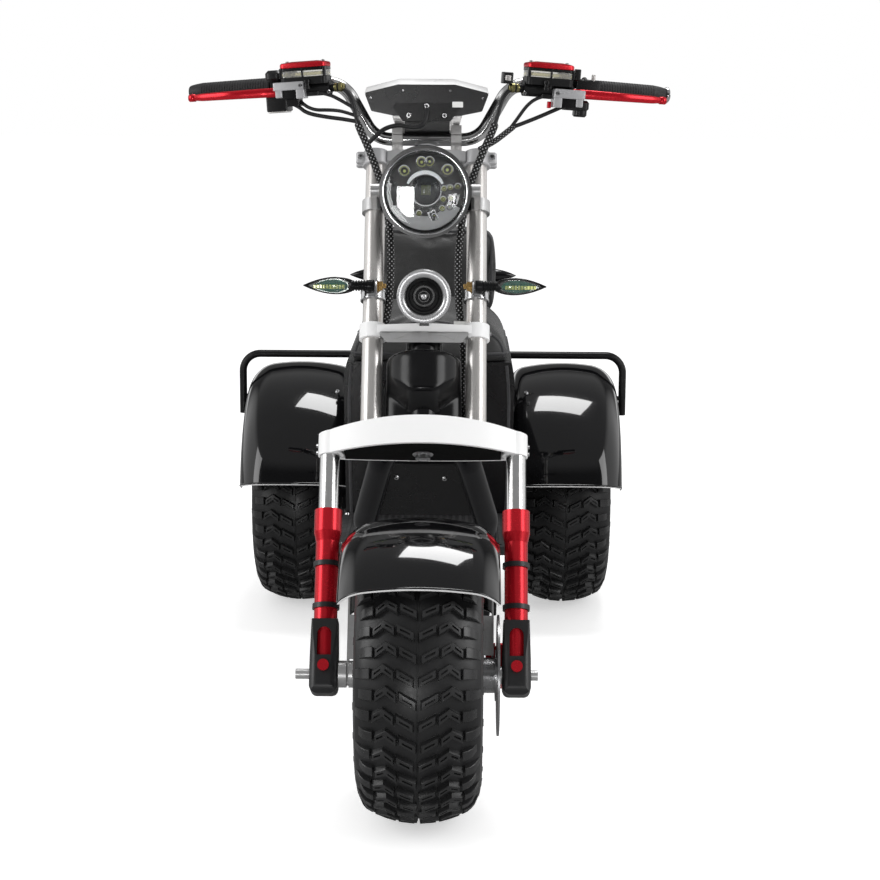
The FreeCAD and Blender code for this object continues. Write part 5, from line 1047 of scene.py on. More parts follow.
def lamp_front():
    """Clear cover and chrome ring of the headlamp."""
    shape = bmesh.new()
    lathe(shape, (
        (66.6, -11), (66.6, -5.6), (64, -3.8), (50, -2.7), (34, -1.9), (17, -1.3), (0, -1.1),
        (0, -3.3), (17, -3.5), (34, -4.1), (50, -4.9), (62.5, -6.4), (63.4, -7.4), (63.4, -11)),
        about_lamp(0, 0, 0), AHEAD, 72, 0, True)
    made = finished("lamp_cover", shape, [clear_glass], "fork", 40)
    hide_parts("headlamp_lens")

    shape = bmesh.new()
    lathe(shape, (
        (66.8, -5), (67, 0.4), (67.8, 1.3), (69.2, 1.5), (70.4, 0.9), (70.6, -0.6), (68, -5)),
        about_lamp(0, 0, 0), AHEAD, 72, 0, True)
    finished("lamp_ring", shape, [chrome], "fork", 40)


def lamp_optics():
    """The lamp's masked floor with the light band, the projector's collar and the chips in their cups."""
    shape = bmesh.new()
    lathe(shape, (
        (62.8, -11.6), (62, -12.2), (60.4, -14.5), (58.6, -15), (27, -15.6), (26.4, -22), (0, -22), (0, -24),
        (62.8, -24)),
        about_lamp(0, 0, 0), AHEAD, 72, 0, True)
    ring_band(shape, 27.5, 34.5, 24, 156, -15.2, -12.6, 1)
    lathe(shape, (
        (22.6, -21), (22.9, -13.6), (24.2, -12.6), (25.9, -13.2), (26.2, -15.4), (26.2, -21)),
        about_lamp(1, 2, 0), AHEAD, 56, 4, True)
    for across, up, radius in ((-34, 33, 8.6), (-6, 47.5, 8.2), (7, 48.5, 7.2), (36, 35, 8.6)):
        lamp_cup(shape, across, up, radius, 5.2)
    for across, up in ((31, 5), (29.5, -12), (28, -27), (41, 7), (42, -10), (40, -25), (53, 9), (-10, -35)):
        lamp_cup(shape, across, up, 4.2, 4)
    for across, up, size, tilt in ((14, -41, (7, 11), 28), (6, -57, (11, 2.2), 0)):
        turn = math.radians(tilt)
        corners = []
        for x, z in ((-size[0], -size[1]), (size[0], -size[1]), (size[0], size[1]), (-size[0], size[1])):
            corners.append((across + x * math.cos(turn) - z * math.sin(turn),
                up + x * math.sin(turn) + z * math.cos(turn)))
        slab(shape, [about_lamp(x, z, -15) for x, z in corners], AHEAD * 1.8 * MM, 2 if tilt else 0, 0.6 * MM)
        if tilt:
            inner = [(across + (x - across) * 0.66, up + (z - up) * 0.76) for x, z in corners]
            slab(shape, [about_lamp(x, z, -13.4) for x, z in inner], AHEAD * 0.6 * MM, 0)
            lamp_cup(shape, across + 1, up + 2, 3.0, 2.2)
    chip = [about_lamp(x, z, -22.2) for x, z in ((-6, -5), (8, -5), (8, 9), (-6, 9))]
    slab(shape, chip, AHEAD * 1.2 * MM, 3, 0.3 * MM)
    rings = []
    for step in range(25):
        angle = math.radians(205 + 130 * step / 24)
        corners = ((40, -15.4), (44, -14.4), (61.8, -9.4), (62.6, -15.4))
        rings.append([about_lamp(r * math.cos(angle), r * math.sin(angle), ahead) for r, ahead in corners])
    loft(shape, rings, 5)
    made = finished(
        "lamp_optics", shape, [black_mask, light_guide, mirror_cup, led_amber, chrome, ramp_grey], "fork", 30)
    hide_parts("headlamp_lens")


def lamp_projector():
    """The projector's glass dome."""
    shape = bmesh.new()
    lathe(shape, (
        (0, -20.5), (22, -20.5), (22.4, -15), (20.5, -11.4), (16, -8.8), (10, -7.1), (5, -6.4), (0, -6.2)),
        about_lamp(1, 2, 0), AHEAD, 56, 0)
    made = finished("lamp_projector", shape, [projector_glass], "fork", 50)
    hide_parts("headlamp_lens")


def horn():
    """Satin ring, ridged face and dome of the horn with a small satin cap at its centre as a painted highlight,
    its drum and the bracket behind.
    """
    shape = bmesh.new()
    centre = at(0, 200, 798)
    lathe(shape, (
        (30.4, -3.4), (31.2, -1.2), (33, 0.4), (36.5, 1.6), (40, 1.9), (42.2, 1.2), (43.6, -0.6), (43.9, -4),
        (43.2, -9), (30.4, -9)), centre, AHEAD, 64, 1, True)
    lathe(shape, (
        (30.9, -3), (29.4, -2.2), (27.6, -4.6), (25.6, -4.2), (23.2, -7), (21.4, -6.4), (20.8, -4.6),
        (19.8, -4.2), (18.8, -5), (18, -8.4), (14, -9), (0, -9), (0, -12), (30.9, -12)),
        centre, AHEAD, 64, 0, True)
    lathe(shape, (
        (0, -9.4), (13.8, -9.4), (13.6, -3.4), (12.4, -1.6), (10.6, -1.2), (9.4, -2.8), (0, -2.8)),
        centre, AHEAD, 48, 0)
    lathe(shape, ((0, -3.4), (7.8, -3.4), (7.4, -0.6), (5.8, 1.4), (3.2, 2.6), (0, 2.9)), centre, AHEAD, 40, 0)
    # Small satin cap at the dome's centre: a painted highlight.
    lathe(shape, ((0, 1), (4.4, 1), (4.4, 2.6), (3.4, 3.8), (1.8, 4.5), (0, 4.7)), centre, AHEAD, 32, 1)
    lathe(shape, (
        (0, -43), (16, -43), (18, -40), (34, -36), (40, -31), (42.4, -26), (43, -18), (43, -8.6), (0, -8.6)),
        centre, AHEAD, 64, 0)
    slab(shape, [at(x, 243, z) for x, z in ((-7, 806), (7, 806), (8, 740), (8, 736), (-8, 736), (-8, 740))],
        Vector((0, 4, 0)) * MM, 0, 0.5 * MM)
    slab(shape, [at(x, y, 737.4 - (y - 243) * 0.53) for x, y in ((-8, 243), (8, 243), (8, 262), (-8, 262))],
        UP * 3 * MM, 0, 0.5 * MM)
    lathe(shape, ((0, 0), (6.4, 0), (6.4, 4), (5.4, 5), (0, 5)), at(0, 247, 800), -AHEAD, 6, 1)
    made = finished("horn_face", shape, [housing_black, horn_satin_and_highlight], "fork", 30)
    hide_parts("horn")


def leaf(shape, side, root, tip, middle, height, scale, ahead, behind, finish, steps=20):
    """A leaf-shaped shell whose length runs outward; ahead and behind are its depths at its fullest place."""
    span = tip - root
    rings = []
    for step in range(steps + 1):
        share = step / steps
        full = math.sin(math.pi * min(1, 0.16 + 0.84 * share ** 0.86)) ** 0.8 if share < 1 else 0.03
        full = max(full, 0.06)
        x = root + span * (0.5 + (share - 0.5) * (scale if scale < 1 else 1))
        ring = []
        for spoke in range(20):
            turn = math.tau * spoke / 20
            reach = ahead if math.cos(turn) > 0 else behind
            ring.append(at(side * x, middle - reach * full * math.cos(turn),
                height + 14.5 * scale * full * math.sin(turn)))
        rings.append(ring)
    loft(shape, rings, finish)


def signal_lamps(node, body, root, middle, height, front, name):
    """Leaf-shaped lamps with a row of light chips behind clear glass, on ribbed rubber boots."""
    tip = root + 83
    for side in (-1, 1):
        shape = bmesh.new()
        deep = 1 if front else -1
        leaf(shape, side, root, tip, middle, height, 1.0, 5.5 * deep, 12 * deep, 0)
        leaf(shape, side, root, tip, middle, height, 0.8, 7.4 * deep, 2 * deep, 1)
        for step in range(10):
            x = tip - 66 + 5.2 * step
            full = 1 - 0.35 * abs(step / 9 - 0.35)
            outline = [at(side * (x + a), middle - 6.2 * deep, height - 1 + b * full) for a, b in (
                (-2.0, -3.4), (2.0, -3.4), (2.0, 3.4), (-2.0, 3.4))]
            slab(shape, outline, AHEAD * deep * 2.4 * MM, 2, 0.4 * MM)
        leaf(shape, side, root, tip, middle, height, 0.87, 10.5 * deep, -4.5 * deep, 3)
        boot = [(0, 9), (7.0, 9), (9.4, 4)]
        for rib in range(5):
            near = 1 - 4.4 * rib
            boot += [(8.6 + 0.16 * rib, near), (8.9 + 0.16 * rib, near - 1.6), (7.0 + 0.16 * rib, near - 2.2),
                (7.0 + 0.16 * rib, near - 3.6)]
        boot += [(9.6, -21.4), (9.8, -22.2), (9.8, -33), (9.2, -34), (0, -34)]
        lathe(shape, boot, at(side * root, middle + 1, height), LEFT * side, 32, 4)
        made = finished("%s_%s" % (name, hand(side)), shape,
            [gloss_black, lamp_board, led_amber, signal_glass, panel_black], body, 32)
        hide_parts(node)


def front_signal_mounts():
    """Clamp bands, bracket plates and brass nuts of the front signals."""
    for side in (-1, 1):
        shape = bmesh.new()
        foot, top = on_fork(623, side * TUBE_SIDE, 0), on_fork(641, side * TUBE_SIDE, 0)
        lathe(shape, (
            (17.2, 0), (20.2, 0), (21.4, 0.8), (21.4, 3.2), (20.4, 4.2), (20.4, 13.8), (21.4, 14.8),
            (21.4, 17.2), (20.2, 18), (17.2, 18)), foot, top - foot, 44, 0, True)
        plate = [at(side * 80.6, y, z) for y, z in ((268, 798), (268, 814), (272, 818), (289, 818), (292, 814),
            (292, 786), (280, 782), (274, 786))]
        slab(shape, plate, LEFT * -side * 2.4 * MM, 0, 0.4 * MM)
        nut = at(side * 78, 280.7, 806.5)
        lathe(shape, (
            (0, 0), (9.4, 0), (9.4, 1.4), (7.6, 1.8), (8.4, 2.4), (8.4, 8.4), (7.4, 9.2), (4.4, 9.4),
            (4.4, 13.6), (3.6, 14.4), (0, 14.4)),
            nut, LEFT * -side, 6, 1)
        finished("signal_mount_" + hand(side), shape, [screw_steel, gold_nut], "fork", 30)


# Body, cushions and trim --------------------------------------------------------------


def row_tree():
    """Copies of one piece at even steps along a line."""
    tree = Tree("row", {"Count": "Int", "Step": "Vector", "Material": "Material"})
    spots = tree.add("GeometryNodeMeshLine", {"mode": "OFFSET"}, Count=tree.given("Count"),
        Offset=tree.given("Step"))
    copies = tree.add("GeometryNodeInstanceOnPoints", Points=spots.outputs[0], Instance=tree.given("Geometry"))
    tree.finish(copies.outputs[0])
    return tree


ROW = row_tree()


def repeated(name, shape, count, step, finish, body):
    """A row of one moulded piece, as a plain mesh on its body."""
    made = ROW.run(as_mesh(shape, name), name, Count=count, Step=Vector(step) * MM, Material=finish.material)
    placed(name, made, [], body, 30)


HOOD_RADIUS = 61.5
HOOD_FOOT = 411
HOOD_SHOULDER = 510


def neck_hood():
    """The moulded hood round the head tube, with its V-shaped crease, as one closed shell."""
    outer, inner = [], []
    for step in range(61):
        angle = math.radians(-150 + 5 * step)
        across, ahead = math.sin(angle), math.cos(angle)
        crease = 452 + 36 * min(max((abs(HOOD_RADIUS * across) - 20) / 41, 0), 1)
        rows = []
        for rise in range(31):
            level = HOOD_FOOT + (HOOD_SHOULDER - HOOD_FOOT) * rise / 30
            share = min(max((level - crease + 26) / 26, 0), 1)
            depth = 0.30 + 0.70 * share ** 0.8
            rows.append((HOOD_RADIUS, HOOD_RADIUS * (depth if ahead > 0 else 1), level))
        for turn in range(1, 7):
            corner = math.radians(15 * turn)
            wide = 49.5 + 12 * math.cos(corner)
            rows.append((wide, wide, HOOD_SHOULDER + 12 * math.sin(corner)))
        rows += [(42, 42, 522.3), (34, 34, 522.4)]
        outer.append([on_fork(level, wide * across, -deep * ahead) for wide, deep, level in rows])
        under = []
        for index, (wide, deep, level) in enumerate(rows):
            wall = 2.8 * (index < 37)
            under.append(on_fork(level - 2.6 * (index > 30), (wide - wall) * across, -(deep - wall) * ahead))
        inner.append(under)
    shape = bmesh.new()
    layers = [[[shape.verts.new(point) for point in row] for row in grid] for grid in (outer, inner)]
    last, tall = len(outer) - 1, len(outer[0]) - 1
    for grid in layers:
        for row in range(last):
            for spot in range(tall):
                shape.faces.new([grid[row][spot], grid[row + 1][spot], grid[row + 1][spot + 1],
                    grid[row][spot + 1]])
    one, two = layers
    for row in range(last):
        for spot in (0, tall):
            shape.faces.new([one[row][spot], one[row + 1][spot], two[row + 1][spot], two[row][spot]])
    for row in (0, last):
        for spot in range(tall):
            shape.faces.new([one[row][spot], one[row][spot + 1], two[row][spot + 1], two[row][spot]])
    foot = on_fork(0, 0, 0)
    lathe(shape, (
        (26.2, 526), (28.6, 526), (30, 527.4), (30, 551), (28.6, 552.4), (26.2, 552.4)),
        foot, FORK_UP, 56, 0, True)
    made = finished("neck_hood", shape, [hood_black], "chassis", 40)
    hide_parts("neck_cover")


CUSHION_RISE = 9


def puffed(shape, name, firm):
    """Blows a closed shape up as cloth, its base held and its rise capped, and gives the mesh."""
    made = in_scene(name, as_mesh(shape, name))
    remesh = made.modifiers.new("remesh", "REMESH")
    remesh.mode = "VOXEL"
    remesh.voxel_size = 0.0055
    mesh = plain_mesh(made, name)
    made = in_scene(name, mesh)
    before = [vertex.co.copy() for vertex in mesh.vertices]
    held = made.vertex_groups.new(name="held")
    held.add([vertex.index for vertex in mesh.vertices if firm(vertex.co)], 1.0, "REPLACE")
    cloth = made.modifiers.new("cloth", "CLOTH")
    cloth.settings.use_pressure = True
    cloth.settings.uniform_pressure_force = 4
    cloth.settings.vertex_group_mass = "held"
    cloth.settings.effector_weights.gravity = 0
    cloth.settings.tension_stiffness = 18
    cloth.settings.bending_stiffness = 1.2
    scene = bpy.context.scene
    for step in range(1, 21):
        scene.frame_set(step)
    mesh = plain_mesh(made, name)
    scene.frame_set(1)
    for vertex, start in zip(mesh.vertices, before):
        moved = vertex.co - start
        if moved.length > CUSHION_RISE * MM:
            vertex.co = start + moved.normalized() * CUSHION_RISE * MM
    return mesh


def cushion(name, node, shape, firm):
    mesh = puffed(shape, name, firm)
    made = placed(name, mesh, [seat_leather], "chassis", 80)
    made.modifiers.new("softer", "SUBSURF").levels = 1
    made.modifiers["softer"].render_levels = 1
    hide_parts(node)
    FACES[name] = BVHTree.FromPolygons([v.co for v in mesh.vertices], [p.vertices for p in mesh.polygons])


def on_cushion(name, start, direction, sink):
    spot, _, _, _ = FACES[name].ray_cast(start, direction)
    return spot + direction * sink * MM


def piping(name, points, radius=3.6, closed=True):
    shape = bmesh.new()
    if closed:
        points = points + [points[0]]
    tube(shape, points, radius * MM, 10, 0)
    finished(name, shape, [piping_leather], "chassis", 60)


def saddle_cushion():
    def ring(half, inset, level, corner=26):
        flat = round_corners((-half, 808 + inset), (half, 1182 - inset), corner, 6)
        return [at(x, y, level) for x, y in flat]

    rings = [ring(146, 8, 604.5), ring(150, 4, 606.5), ring(151.5, 2.5, 611)]
    for step in range(1, 9):
        turn = math.radians(11 * step)
        fall = 1 - math.cos(turn)
        rings.append(ring(151.5 - 76 * fall, 2.5 + 28 * fall, 611 + 74 * math.sin(turn)))
    rings += [ring(56, 60, 686, 20), ring(36, 110, 686.6, 20)]
    shape = bmesh.new()
    loft(shape, rings)
    cushion("saddle_cushion", "seat", shape, lambda spot: spot.z < 607.5 * MM)


def backrest_cushion():
    rings = []
    for inset, y in ((6, 1256), (1.5, 1252), (0.5, 1244), (0.5, 1222), (2, 1214), (7, 1208), (15, 1204.5),
            (30, 1203), (50, 1202.2)):
        flat = round_corners(
            (-130 + inset, 644 + inset), (130 - inset, 828 - inset), max(30 - inset * 0.3, 8), 6)
        rings.append([at(x, y, z) for x, z in flat])
    shape = bmesh.new()
    loft(shape, rings)
    cushion("backrest_cushion", "backrest", shape, lambda spot: spot.y > at(0, 1249, 0).y)


def seat_piping():
    """Cords sewn along the seams of the saddle, the backrest and the seat box."""
    outline = round_corners((-150, 812), (150, 1178), 26, 7)
    middle = at(0, 995, 619)
    points = []
    for x, y in outline:
        far = middle + (at(x, y, 619) - middle) * 1.6
        points.append(on_cushion("saddle_cushion", far, (middle - far).normalized(), 0.6))
    piping("saddle_piping", points)
    points = []
    for step in range(37):
        turn = math.radians(180 * step / 36)
        x = math.cos(turn) * (64 + 78 * min(1, abs(math.cos(turn)) * 1.2))
        z = 612 + 66 * math.sin(turn) ** 0.7
        points.append(on_cushion("saddle_cushion", at(x, 700, z), -AHEAD, 0.8))
    piping("saddle_front_piping", points, 3.2, False)
    points = []
    for x, z in round_corners((-124, 650), (124, 822), 26, 7):
        points.append(on_cushion("backrest_cushion", at(x, 1100, z), -AHEAD, 0.8))
    piping("backrest_piping", points, 3.4)
    for side in (-1, 1):
        line = [at(side * x, 799.2, z) for x, z in ((150, 300), (152, 380), (153.5, 460), (154, 530),
            (152, 566), (149, 598))]
        piping("box_piping_" + hand(side), line, 3.2, False)


def fender_edge(middle, half, bends, crown, radius, skirt, inset=1.2):
    """The fender's outline as (across, reach), from one skirt over the top to the other."""
    sides = []
    for side, bend in zip((-1, 1), bends):
        centre = radius - crown + math.sqrt((crown - bend) ** 2 - (half - bend) ** 2)
        lean = math.atan2(half - bend, centre - radius + crown)
        start = math.acos((skirt - centre) / bend) if skirt > centre else math.pi / 2
        arc = [(middle + side * (half - bend + (bend - inset) * math.sin(a)),
            centre + (bend - inset) * math.cos(a))
               for a in (start + (lean - start) * step / 9 for step in range(10))]
        if skirt < centre:
            arc.insert(0, (arc[0][0], skirt))
        sides.append(arc)
    top = math.asin((half - max(bends)) / (crown - max(bends)))
    over = [(middle + (crown - inset) * math.sin(a), radius - crown + (crown - inset) * math.cos(a))
            for a in (-top + top * 2 * step / 12 for step in range(1, 12))]
    return sides[0] + over + list(reversed(sides[1]))


def fender_beads():
    """Rolled edges all round each fender, with a thin pale line just inside each front lip as a painted
    highlight.
    """
    for name, node_body, axle, lip, end, edge in (
        ("front", "fork", 0, 48, 168, fender_edge(0, 127, (60, 60), 370, 245.5, 205)),
        ("rear_left", "chassis", REAR_AXLE, 17, 180, fender_edge(286, 114, (34, 62), 420, 297, 214)),
        ("rear_right", "chassis", REAR_AXLE, 17, 180, fender_edge(-286, 114, (62, 34), 420, 297, 214)),
    ):
        def spot(across, reach, degrees):
            turn = math.radians(degrees)
            return at(across, axle - reach * math.cos(turn), WHEEL_HEIGHT + reach * math.sin(turn))

        shape = bmesh.new()
        for degrees in (lip, end):
            tube(shape, [spot(x, reach, degrees) for x, reach in edge], 2.4 * MM, 10)
        # Thin pale line just inside the lip: painted highlight.
        tube(shape, [spot(x, reach, lip - 0.5) for x, reach in edge], 1.5 * MM, 8, 1)
        for x, reach in (edge[0], edge[-1]):
            tube(shape, [spot(x, reach, lip + (end - lip) * step / 60) for step in range(61)], 2.4 * MM, 10)
        finished("fender_bead_" + name, shape, [gloss_black, lip_highlight_edge], node_body, 60)


def top_clamp():
    """Round collars with their pinch lugs, the bowed bridge between them and the stem boss."""
    shape = bmesh.new()
    for side in (-1, 1):
        foot = on_fork(867, side * TUBE_SIDE, 0)
        lathe(shape, (
            (17.1, 0), (21.6, 0), (23, 1.4), (23, 24.6), (21.6, 26), (17.1, 26)), foot, FORK_UP, 44, 0, True)
        for deep in ((-13, -2.2), (1.4, 13)):
            moulded(shape, lambda a, b, c: on_fork(c, side * a, b), (102, 119), deep, (870, 890), 4.6, 1.6, 0)
    front, back = [], []
    for step in range(17):
        x = -66 + 8.25 * step
        swell = 9 * (1 - (x / 66) ** 2)
        front.append((x, -17 - swell))
        back.append((x, 17 + swell))
    rings = []
    for level, inset in ((870, 1.4), (871.4, 0), (888.6, 0), (890, 1.4)):
        rings.append([on_fork(level, x, y + inset) for x, y in front]
            + [on_fork(level, x, y - inset) for x, y in reversed(back)])
    loft(shape, rings, 0)
    lathe(shape, (
        (0, 888), (19, 888), (20.4, 892), (19.6, 901), (18, 903), (12, 903.4), (11, 901), (0, 901)),
        on_fork(0, 0, 0), FORK_UP, 44, 0)
    made = finished("top_clamp", shape, [cast_alloy], "fork", 32)
    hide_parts("top_yoke")
    screws("pinch_screws", "fork", [(on_fork(880, side * 111, -13), -FORK_BACK) for side in (-1, 1)], 5.4, 3.4)


CROWN_FRONT_ARC = 283.1
CROWN_BACK_ARC = 480.75


def crown_pocket():
    """A near-black, very matt sheet across the crown's underside, partly the black clamp plate and partly
    painted shade of the hollow, with the nut of the stem.
    """
    front, back = [], []
    for step in range(19):
        x = -126 + 14 * step
        level = 353.8 + 6 * (1 - (x / 170) ** 2)
        front.append(on_fork(level, x, -54.6 + CROWN_FRONT_ARC - math.sqrt(CROWN_FRONT_ARC ** 2 - x * x)))
        back.append(on_fork(level, x, 35.6 - CROWN_BACK_ARC + math.sqrt(CROWN_BACK_ARC ** 2 - x * x)))
    sheet = FORK_UP * 1.8 * MM
    shape = bmesh.new()
    loft(shape, [[one, two, two + sheet, one + sheet] for one, two in zip(front, back)], 0)
    lathe(shape, (
        (0, 2), (7.4, 2), (8, 0), (10.4, 0), (12, 1), (12, 7), (16, 7.4), (17, 8.4), (17, 10), (0, 10)),
        on_fork(350.6, 0, 0), FORK_UP, 24, 1)
    finished("crown_pocket", shape, [pocket_black_and_shade, turned_disc], "fork", 30)


def yoke_tray():
    """The pressed tray under the middle yoke, with its apron, its tongue and two gussets."""
    shape = bmesh.new()
    moulded(shape, lambda a, b, c: on_fork(c, a, b), (-72, 72), (-36, -8), (554, 558), 3, 0.8, 0)
    for half, ahead, low, lean in ((72, -36, 539, 12), (6.5, -37.6, 541, 1)):
        outline = [on_fork(level, x, ahead) for x, level in (
            (-half, 557.6), (half, 557.6), (half, 552), (half - lean, low), (-half + lean, low), (-half, 552))]
        slab(shape, outline, FORK_BACK * 2.4 * MM, 0, 0.4 * MM)
    for side in (-1, 1):
        slab(shape, [on_fork(level, side * x, -37.2) for x, level in ((20, 555), (56, 555), (50, 543))],
            FORK_BACK * 1.6 * MM, 0, 0.3 * MM)
    finished("yoke_tray", shape, [brushed_plate], "fork", 30)


def fork_screws():
    """Screws of the front panel, the crown and the middle yoke."""
    spots = []
    for x, z in ((-49.5, 462.7), (33.5, 460.9)):
        spots.append(touch("front_panel", at(x, 200, z), -AHEAD))
    screws("panel_screws", "chassis", spots, 5.0, 2.6)
    spots = []
    for side in (-1, 1):
        for level in (373, 361):
            spots.append(touch("crown", on_fork(level, side * 260, 0), LEFT * -side))
        spots.append(touch("mid_yoke", on_fork(568, side * 160, 0), LEFT * -side))
    screws("fork_screws", "fork", spots, 4.2, 3.0)


def springs():
    tree = spring_tree()
    for side in (-1, 1):
        name = "spring_" + hand(side)
        made = tree.run(
            bpy.data.meshes.new(name), name, Turns=7.0, Height=0.118, Radius=0.0152, Wire=0.0031,
            Foot=at(side * 149, REAR_AXLE, 332), Material=red_anodised.material)
        placed(name, made, [], "chassis", 60)


def rear_ribs():
    """Ribs of the tread plate and of the tail lamp's lens, and the lamp's bezel."""
    shape = bmesh.new()
    moulded(shape, at, (-150, -144), (534, 782), (308.4, 311), 2.4, 0.8, 0)
    repeated("deck_ribs", shape, 25, (12.25, 0, 0), mat_rubber, "chassis")
    shape = bmesh.new()
    moulded(shape, lambda a, b, c: at(a, c, b), (-98, -95), (461, 499), (1533, 1536), 1.2, 0.5, 0)
    repeated("tail_lamp_ribs", shape, 33, (6, 0, 0), red_lens, "chassis")
    shape = bmesh.new()
    for across, tall in (((-108, 108), (500, 506)), ((-108, 108), (454, 460)), ((-108, -102), (454, 506)),
            ((102, 108), (454, 506))):
        moulded(shape, lambda a, b, c: at(a, c, b), across, tall, (1500.5, 1538), 2.4, 1.0, 0)
    finished("tail_bezel", shape, [housing_black], "chassis", 30)


def rear_screws():
    """Screws of the rack, the deck, the rear fenders and the seat box."""
    spots = []
    for side in (-1, 1):
        for y in (1262, 1476):
            spots.append(touch("rear_rack", at(side * 104, y, 700), -UP))
        for y in (536, 780):
            spots.append(touch("deck", at(side * 157, y, 500), -UP))
        for degrees in (62, 118):
            turn = math.radians(degrees)
            aim = Vector((0, math.cos(turn), -math.sin(turn)))
            spots.append(touch("rear_fenders", at(side * 200, REAR_AXLE, WHEEL_HEIGHT) - aim * 0.5, aim))
        spots.append(touch("seat_box", at(side * 120, 700, 330), -AHEAD))
    screws("rear_screws", "chassis", spots, 5.0, 3.0)


# Tyres ---------------------------------------------------------------------------

TYRE_CROWN = 158.1
LUG_DEPTH = 9.0


def crown_level(across):
    return WHEEL_HEIGHT - TYRE_CROWN + math.sqrt(TYRE_CROWN ** 2 - across ** 2)


def arc_through(start, middle, end, count):
    """Points of the circle through three flat points."""
    (ax, ay), (bx, by), (cx, cy) = start, middle, end
    d = 2 * (ax * (by - cy) + bx * (cy - ay) + cx * (ay - by))
    a, b, c = ax * ax + ay * ay, bx * bx + by * by, cx * cx + cy * cy
    ux = (a * (by - cy) + b * (cy - ay) + c * (ay - by)) / d
    uy = (a * (cx - bx) + b * (ax - cx) + c * (bx - ax)) / d
    radius = math.hypot(ax - ux, ay - uy)
    first, last = math.atan2(ay - uy, ax - ux), math.atan2(cy - uy, cx - ux)
    points = []
    for step in range(count + 1):
        angle = first + (last - first) * step / count
        points.append((ux + radius * math.cos(angle), uy + radius * math.sin(angle)))
    return points


def carcass_profile():
    """The tyre without its lugs, from one bead over the tread's floor to the other, as (radius, across)."""
    wall = [(x, r) for x, r in arc_through((76.4, 109.8), (95.5, 158.65), (85.95, 203.1), 40) if r < 186]
    ribbed = []
    for x, r in wall:
        swell = sum(0.9 for level in (120.0, 127.0, 164.0, 170.0) if abs(r - level) < 1.2)
        ribbed.append((x + swell, r))
    floor = [(78 - 78 * step / 10, crown_level(78 - 78 * step / 10) - LUG_DEPTH) for step in range(10)]
    side = [(64.0, 101.5), (76.4, 101.5), (76.4, 109.8)] + ribbed[1:] + [(84.5, 194.0)] + floor
    middle = [(crown_level(0) - LUG_DEPTH, 0.0)]
    return [(r, -x) for x, r in side] + middle + [(r, x) for x, r in reversed(side)]


def arms(shape, line, half, low):
    """A bar or boomerang on a broken line (across, along), with a chamfered top and a closed slot
    in each arm, in the flat tread's metres."""
    last = len(line) - 1
    sign = 1 if line[last][0] > line[0][0] else -1

    def rim(reach, ends, height):
        rows = ([], [])
        for index, (x, y) in enumerate(line):
            shift = ends * sign * ((index == last) - (index == 0))
            for row, offset in zip(rows, (reach, -reach)):
                row.append(shape.verts.new(Vector((x + shift, y + offset, height)) * MM))
        return rows

    layers = [rim(half + 1.6, 1.4, low), rim(half, 0, -1.0), rim(half - 0.8, -0.8, 0)]
    for under, over in zip(layers, layers[1:]):
        for row in (0, 1):
            for index in range(last):
                shape.faces.new([under[row][index], under[row][index + 1], over[row][index + 1],
                    over[row][index]])
        for index in (0, last):
            shape.faces.new([under[0][index], under[1][index], over[1][index], over[0][index]])
    foot, top = layers[0], layers[-1]
    shape.faces.new(foot[0] + list(reversed(foot[1])))
    for index in range(last):
        (x0, y0), (x1, y1) = line[index], line[index + 1]
        rings = []
        for height in (0, -4.5):
            rings.append([
                shape.verts.new(Vector((x0 + (x1 - x0) * share, y0 + (y1 - y0) * share + offset, height)) * MM)
                for share, offset in ((0.2, 1.7), (0.8, 1.7), (0.8, -1.7), (0.2, -1.7))])
        corners = [top[0][index], top[0][index + 1], top[1][index + 1], top[1][index]]
        for step in range(4):
            after = (step + 1) % 4
            shape.faces.new([corners[step], corners[after], rings[0][after], rings[0][step]])
            shape.faces.new([rings[0][step], rings[0][after], rings[1][after], rings[1][step]])
        shape.faces.new(rings[1])


def shoulder(shape, side, middle, half):
    """A block over the tread's edge that runs on down the side, with a step in its outer face."""
    outline = [
        (67.5, -11.0), (68.5, -0.8), (69.5, 0.0), (78.0, 0.0), (84.0, -3.0), (90.5, -13.0),
        (94.6, -30.0), (95.6, -33.0), (90.0, -34.0),
    ]
    rings = []
    for place, inset in ((-half, 0.9), (-half + 0.9, 0.0), (half - 0.9, 0.0), (half, 0.9)):
        ring = []
        for x, height in outline:
            lower = inset if height > -8 else inset * 0.5
            ring.append(Vector((side * (x - inset * (x > 75)), middle + place, height - lower)) * MM)
        rings.append(ring)
    loft(shape, rings)


def tread_row():
    """One row of lugs laid flat: two bars in a V, two bent blocks and two shoulder blocks."""
    shape = bmesh.new()
    for side in (-1, 1):
        arms(shape, [(side * 4.0, -12.0), (side * 29.0, 1.5)], 6.3, -LUG_DEPTH - 2)
        arms(shape, [(side * 33.0, -1.5), (side * 49.0, 10.0), (side * 65.0, -1.5)], 6.6, -LUG_DEPTH - 2)
        shoulder(shape, side, 1.5, 8.6)
    return as_mesh(shape, "tread_row")


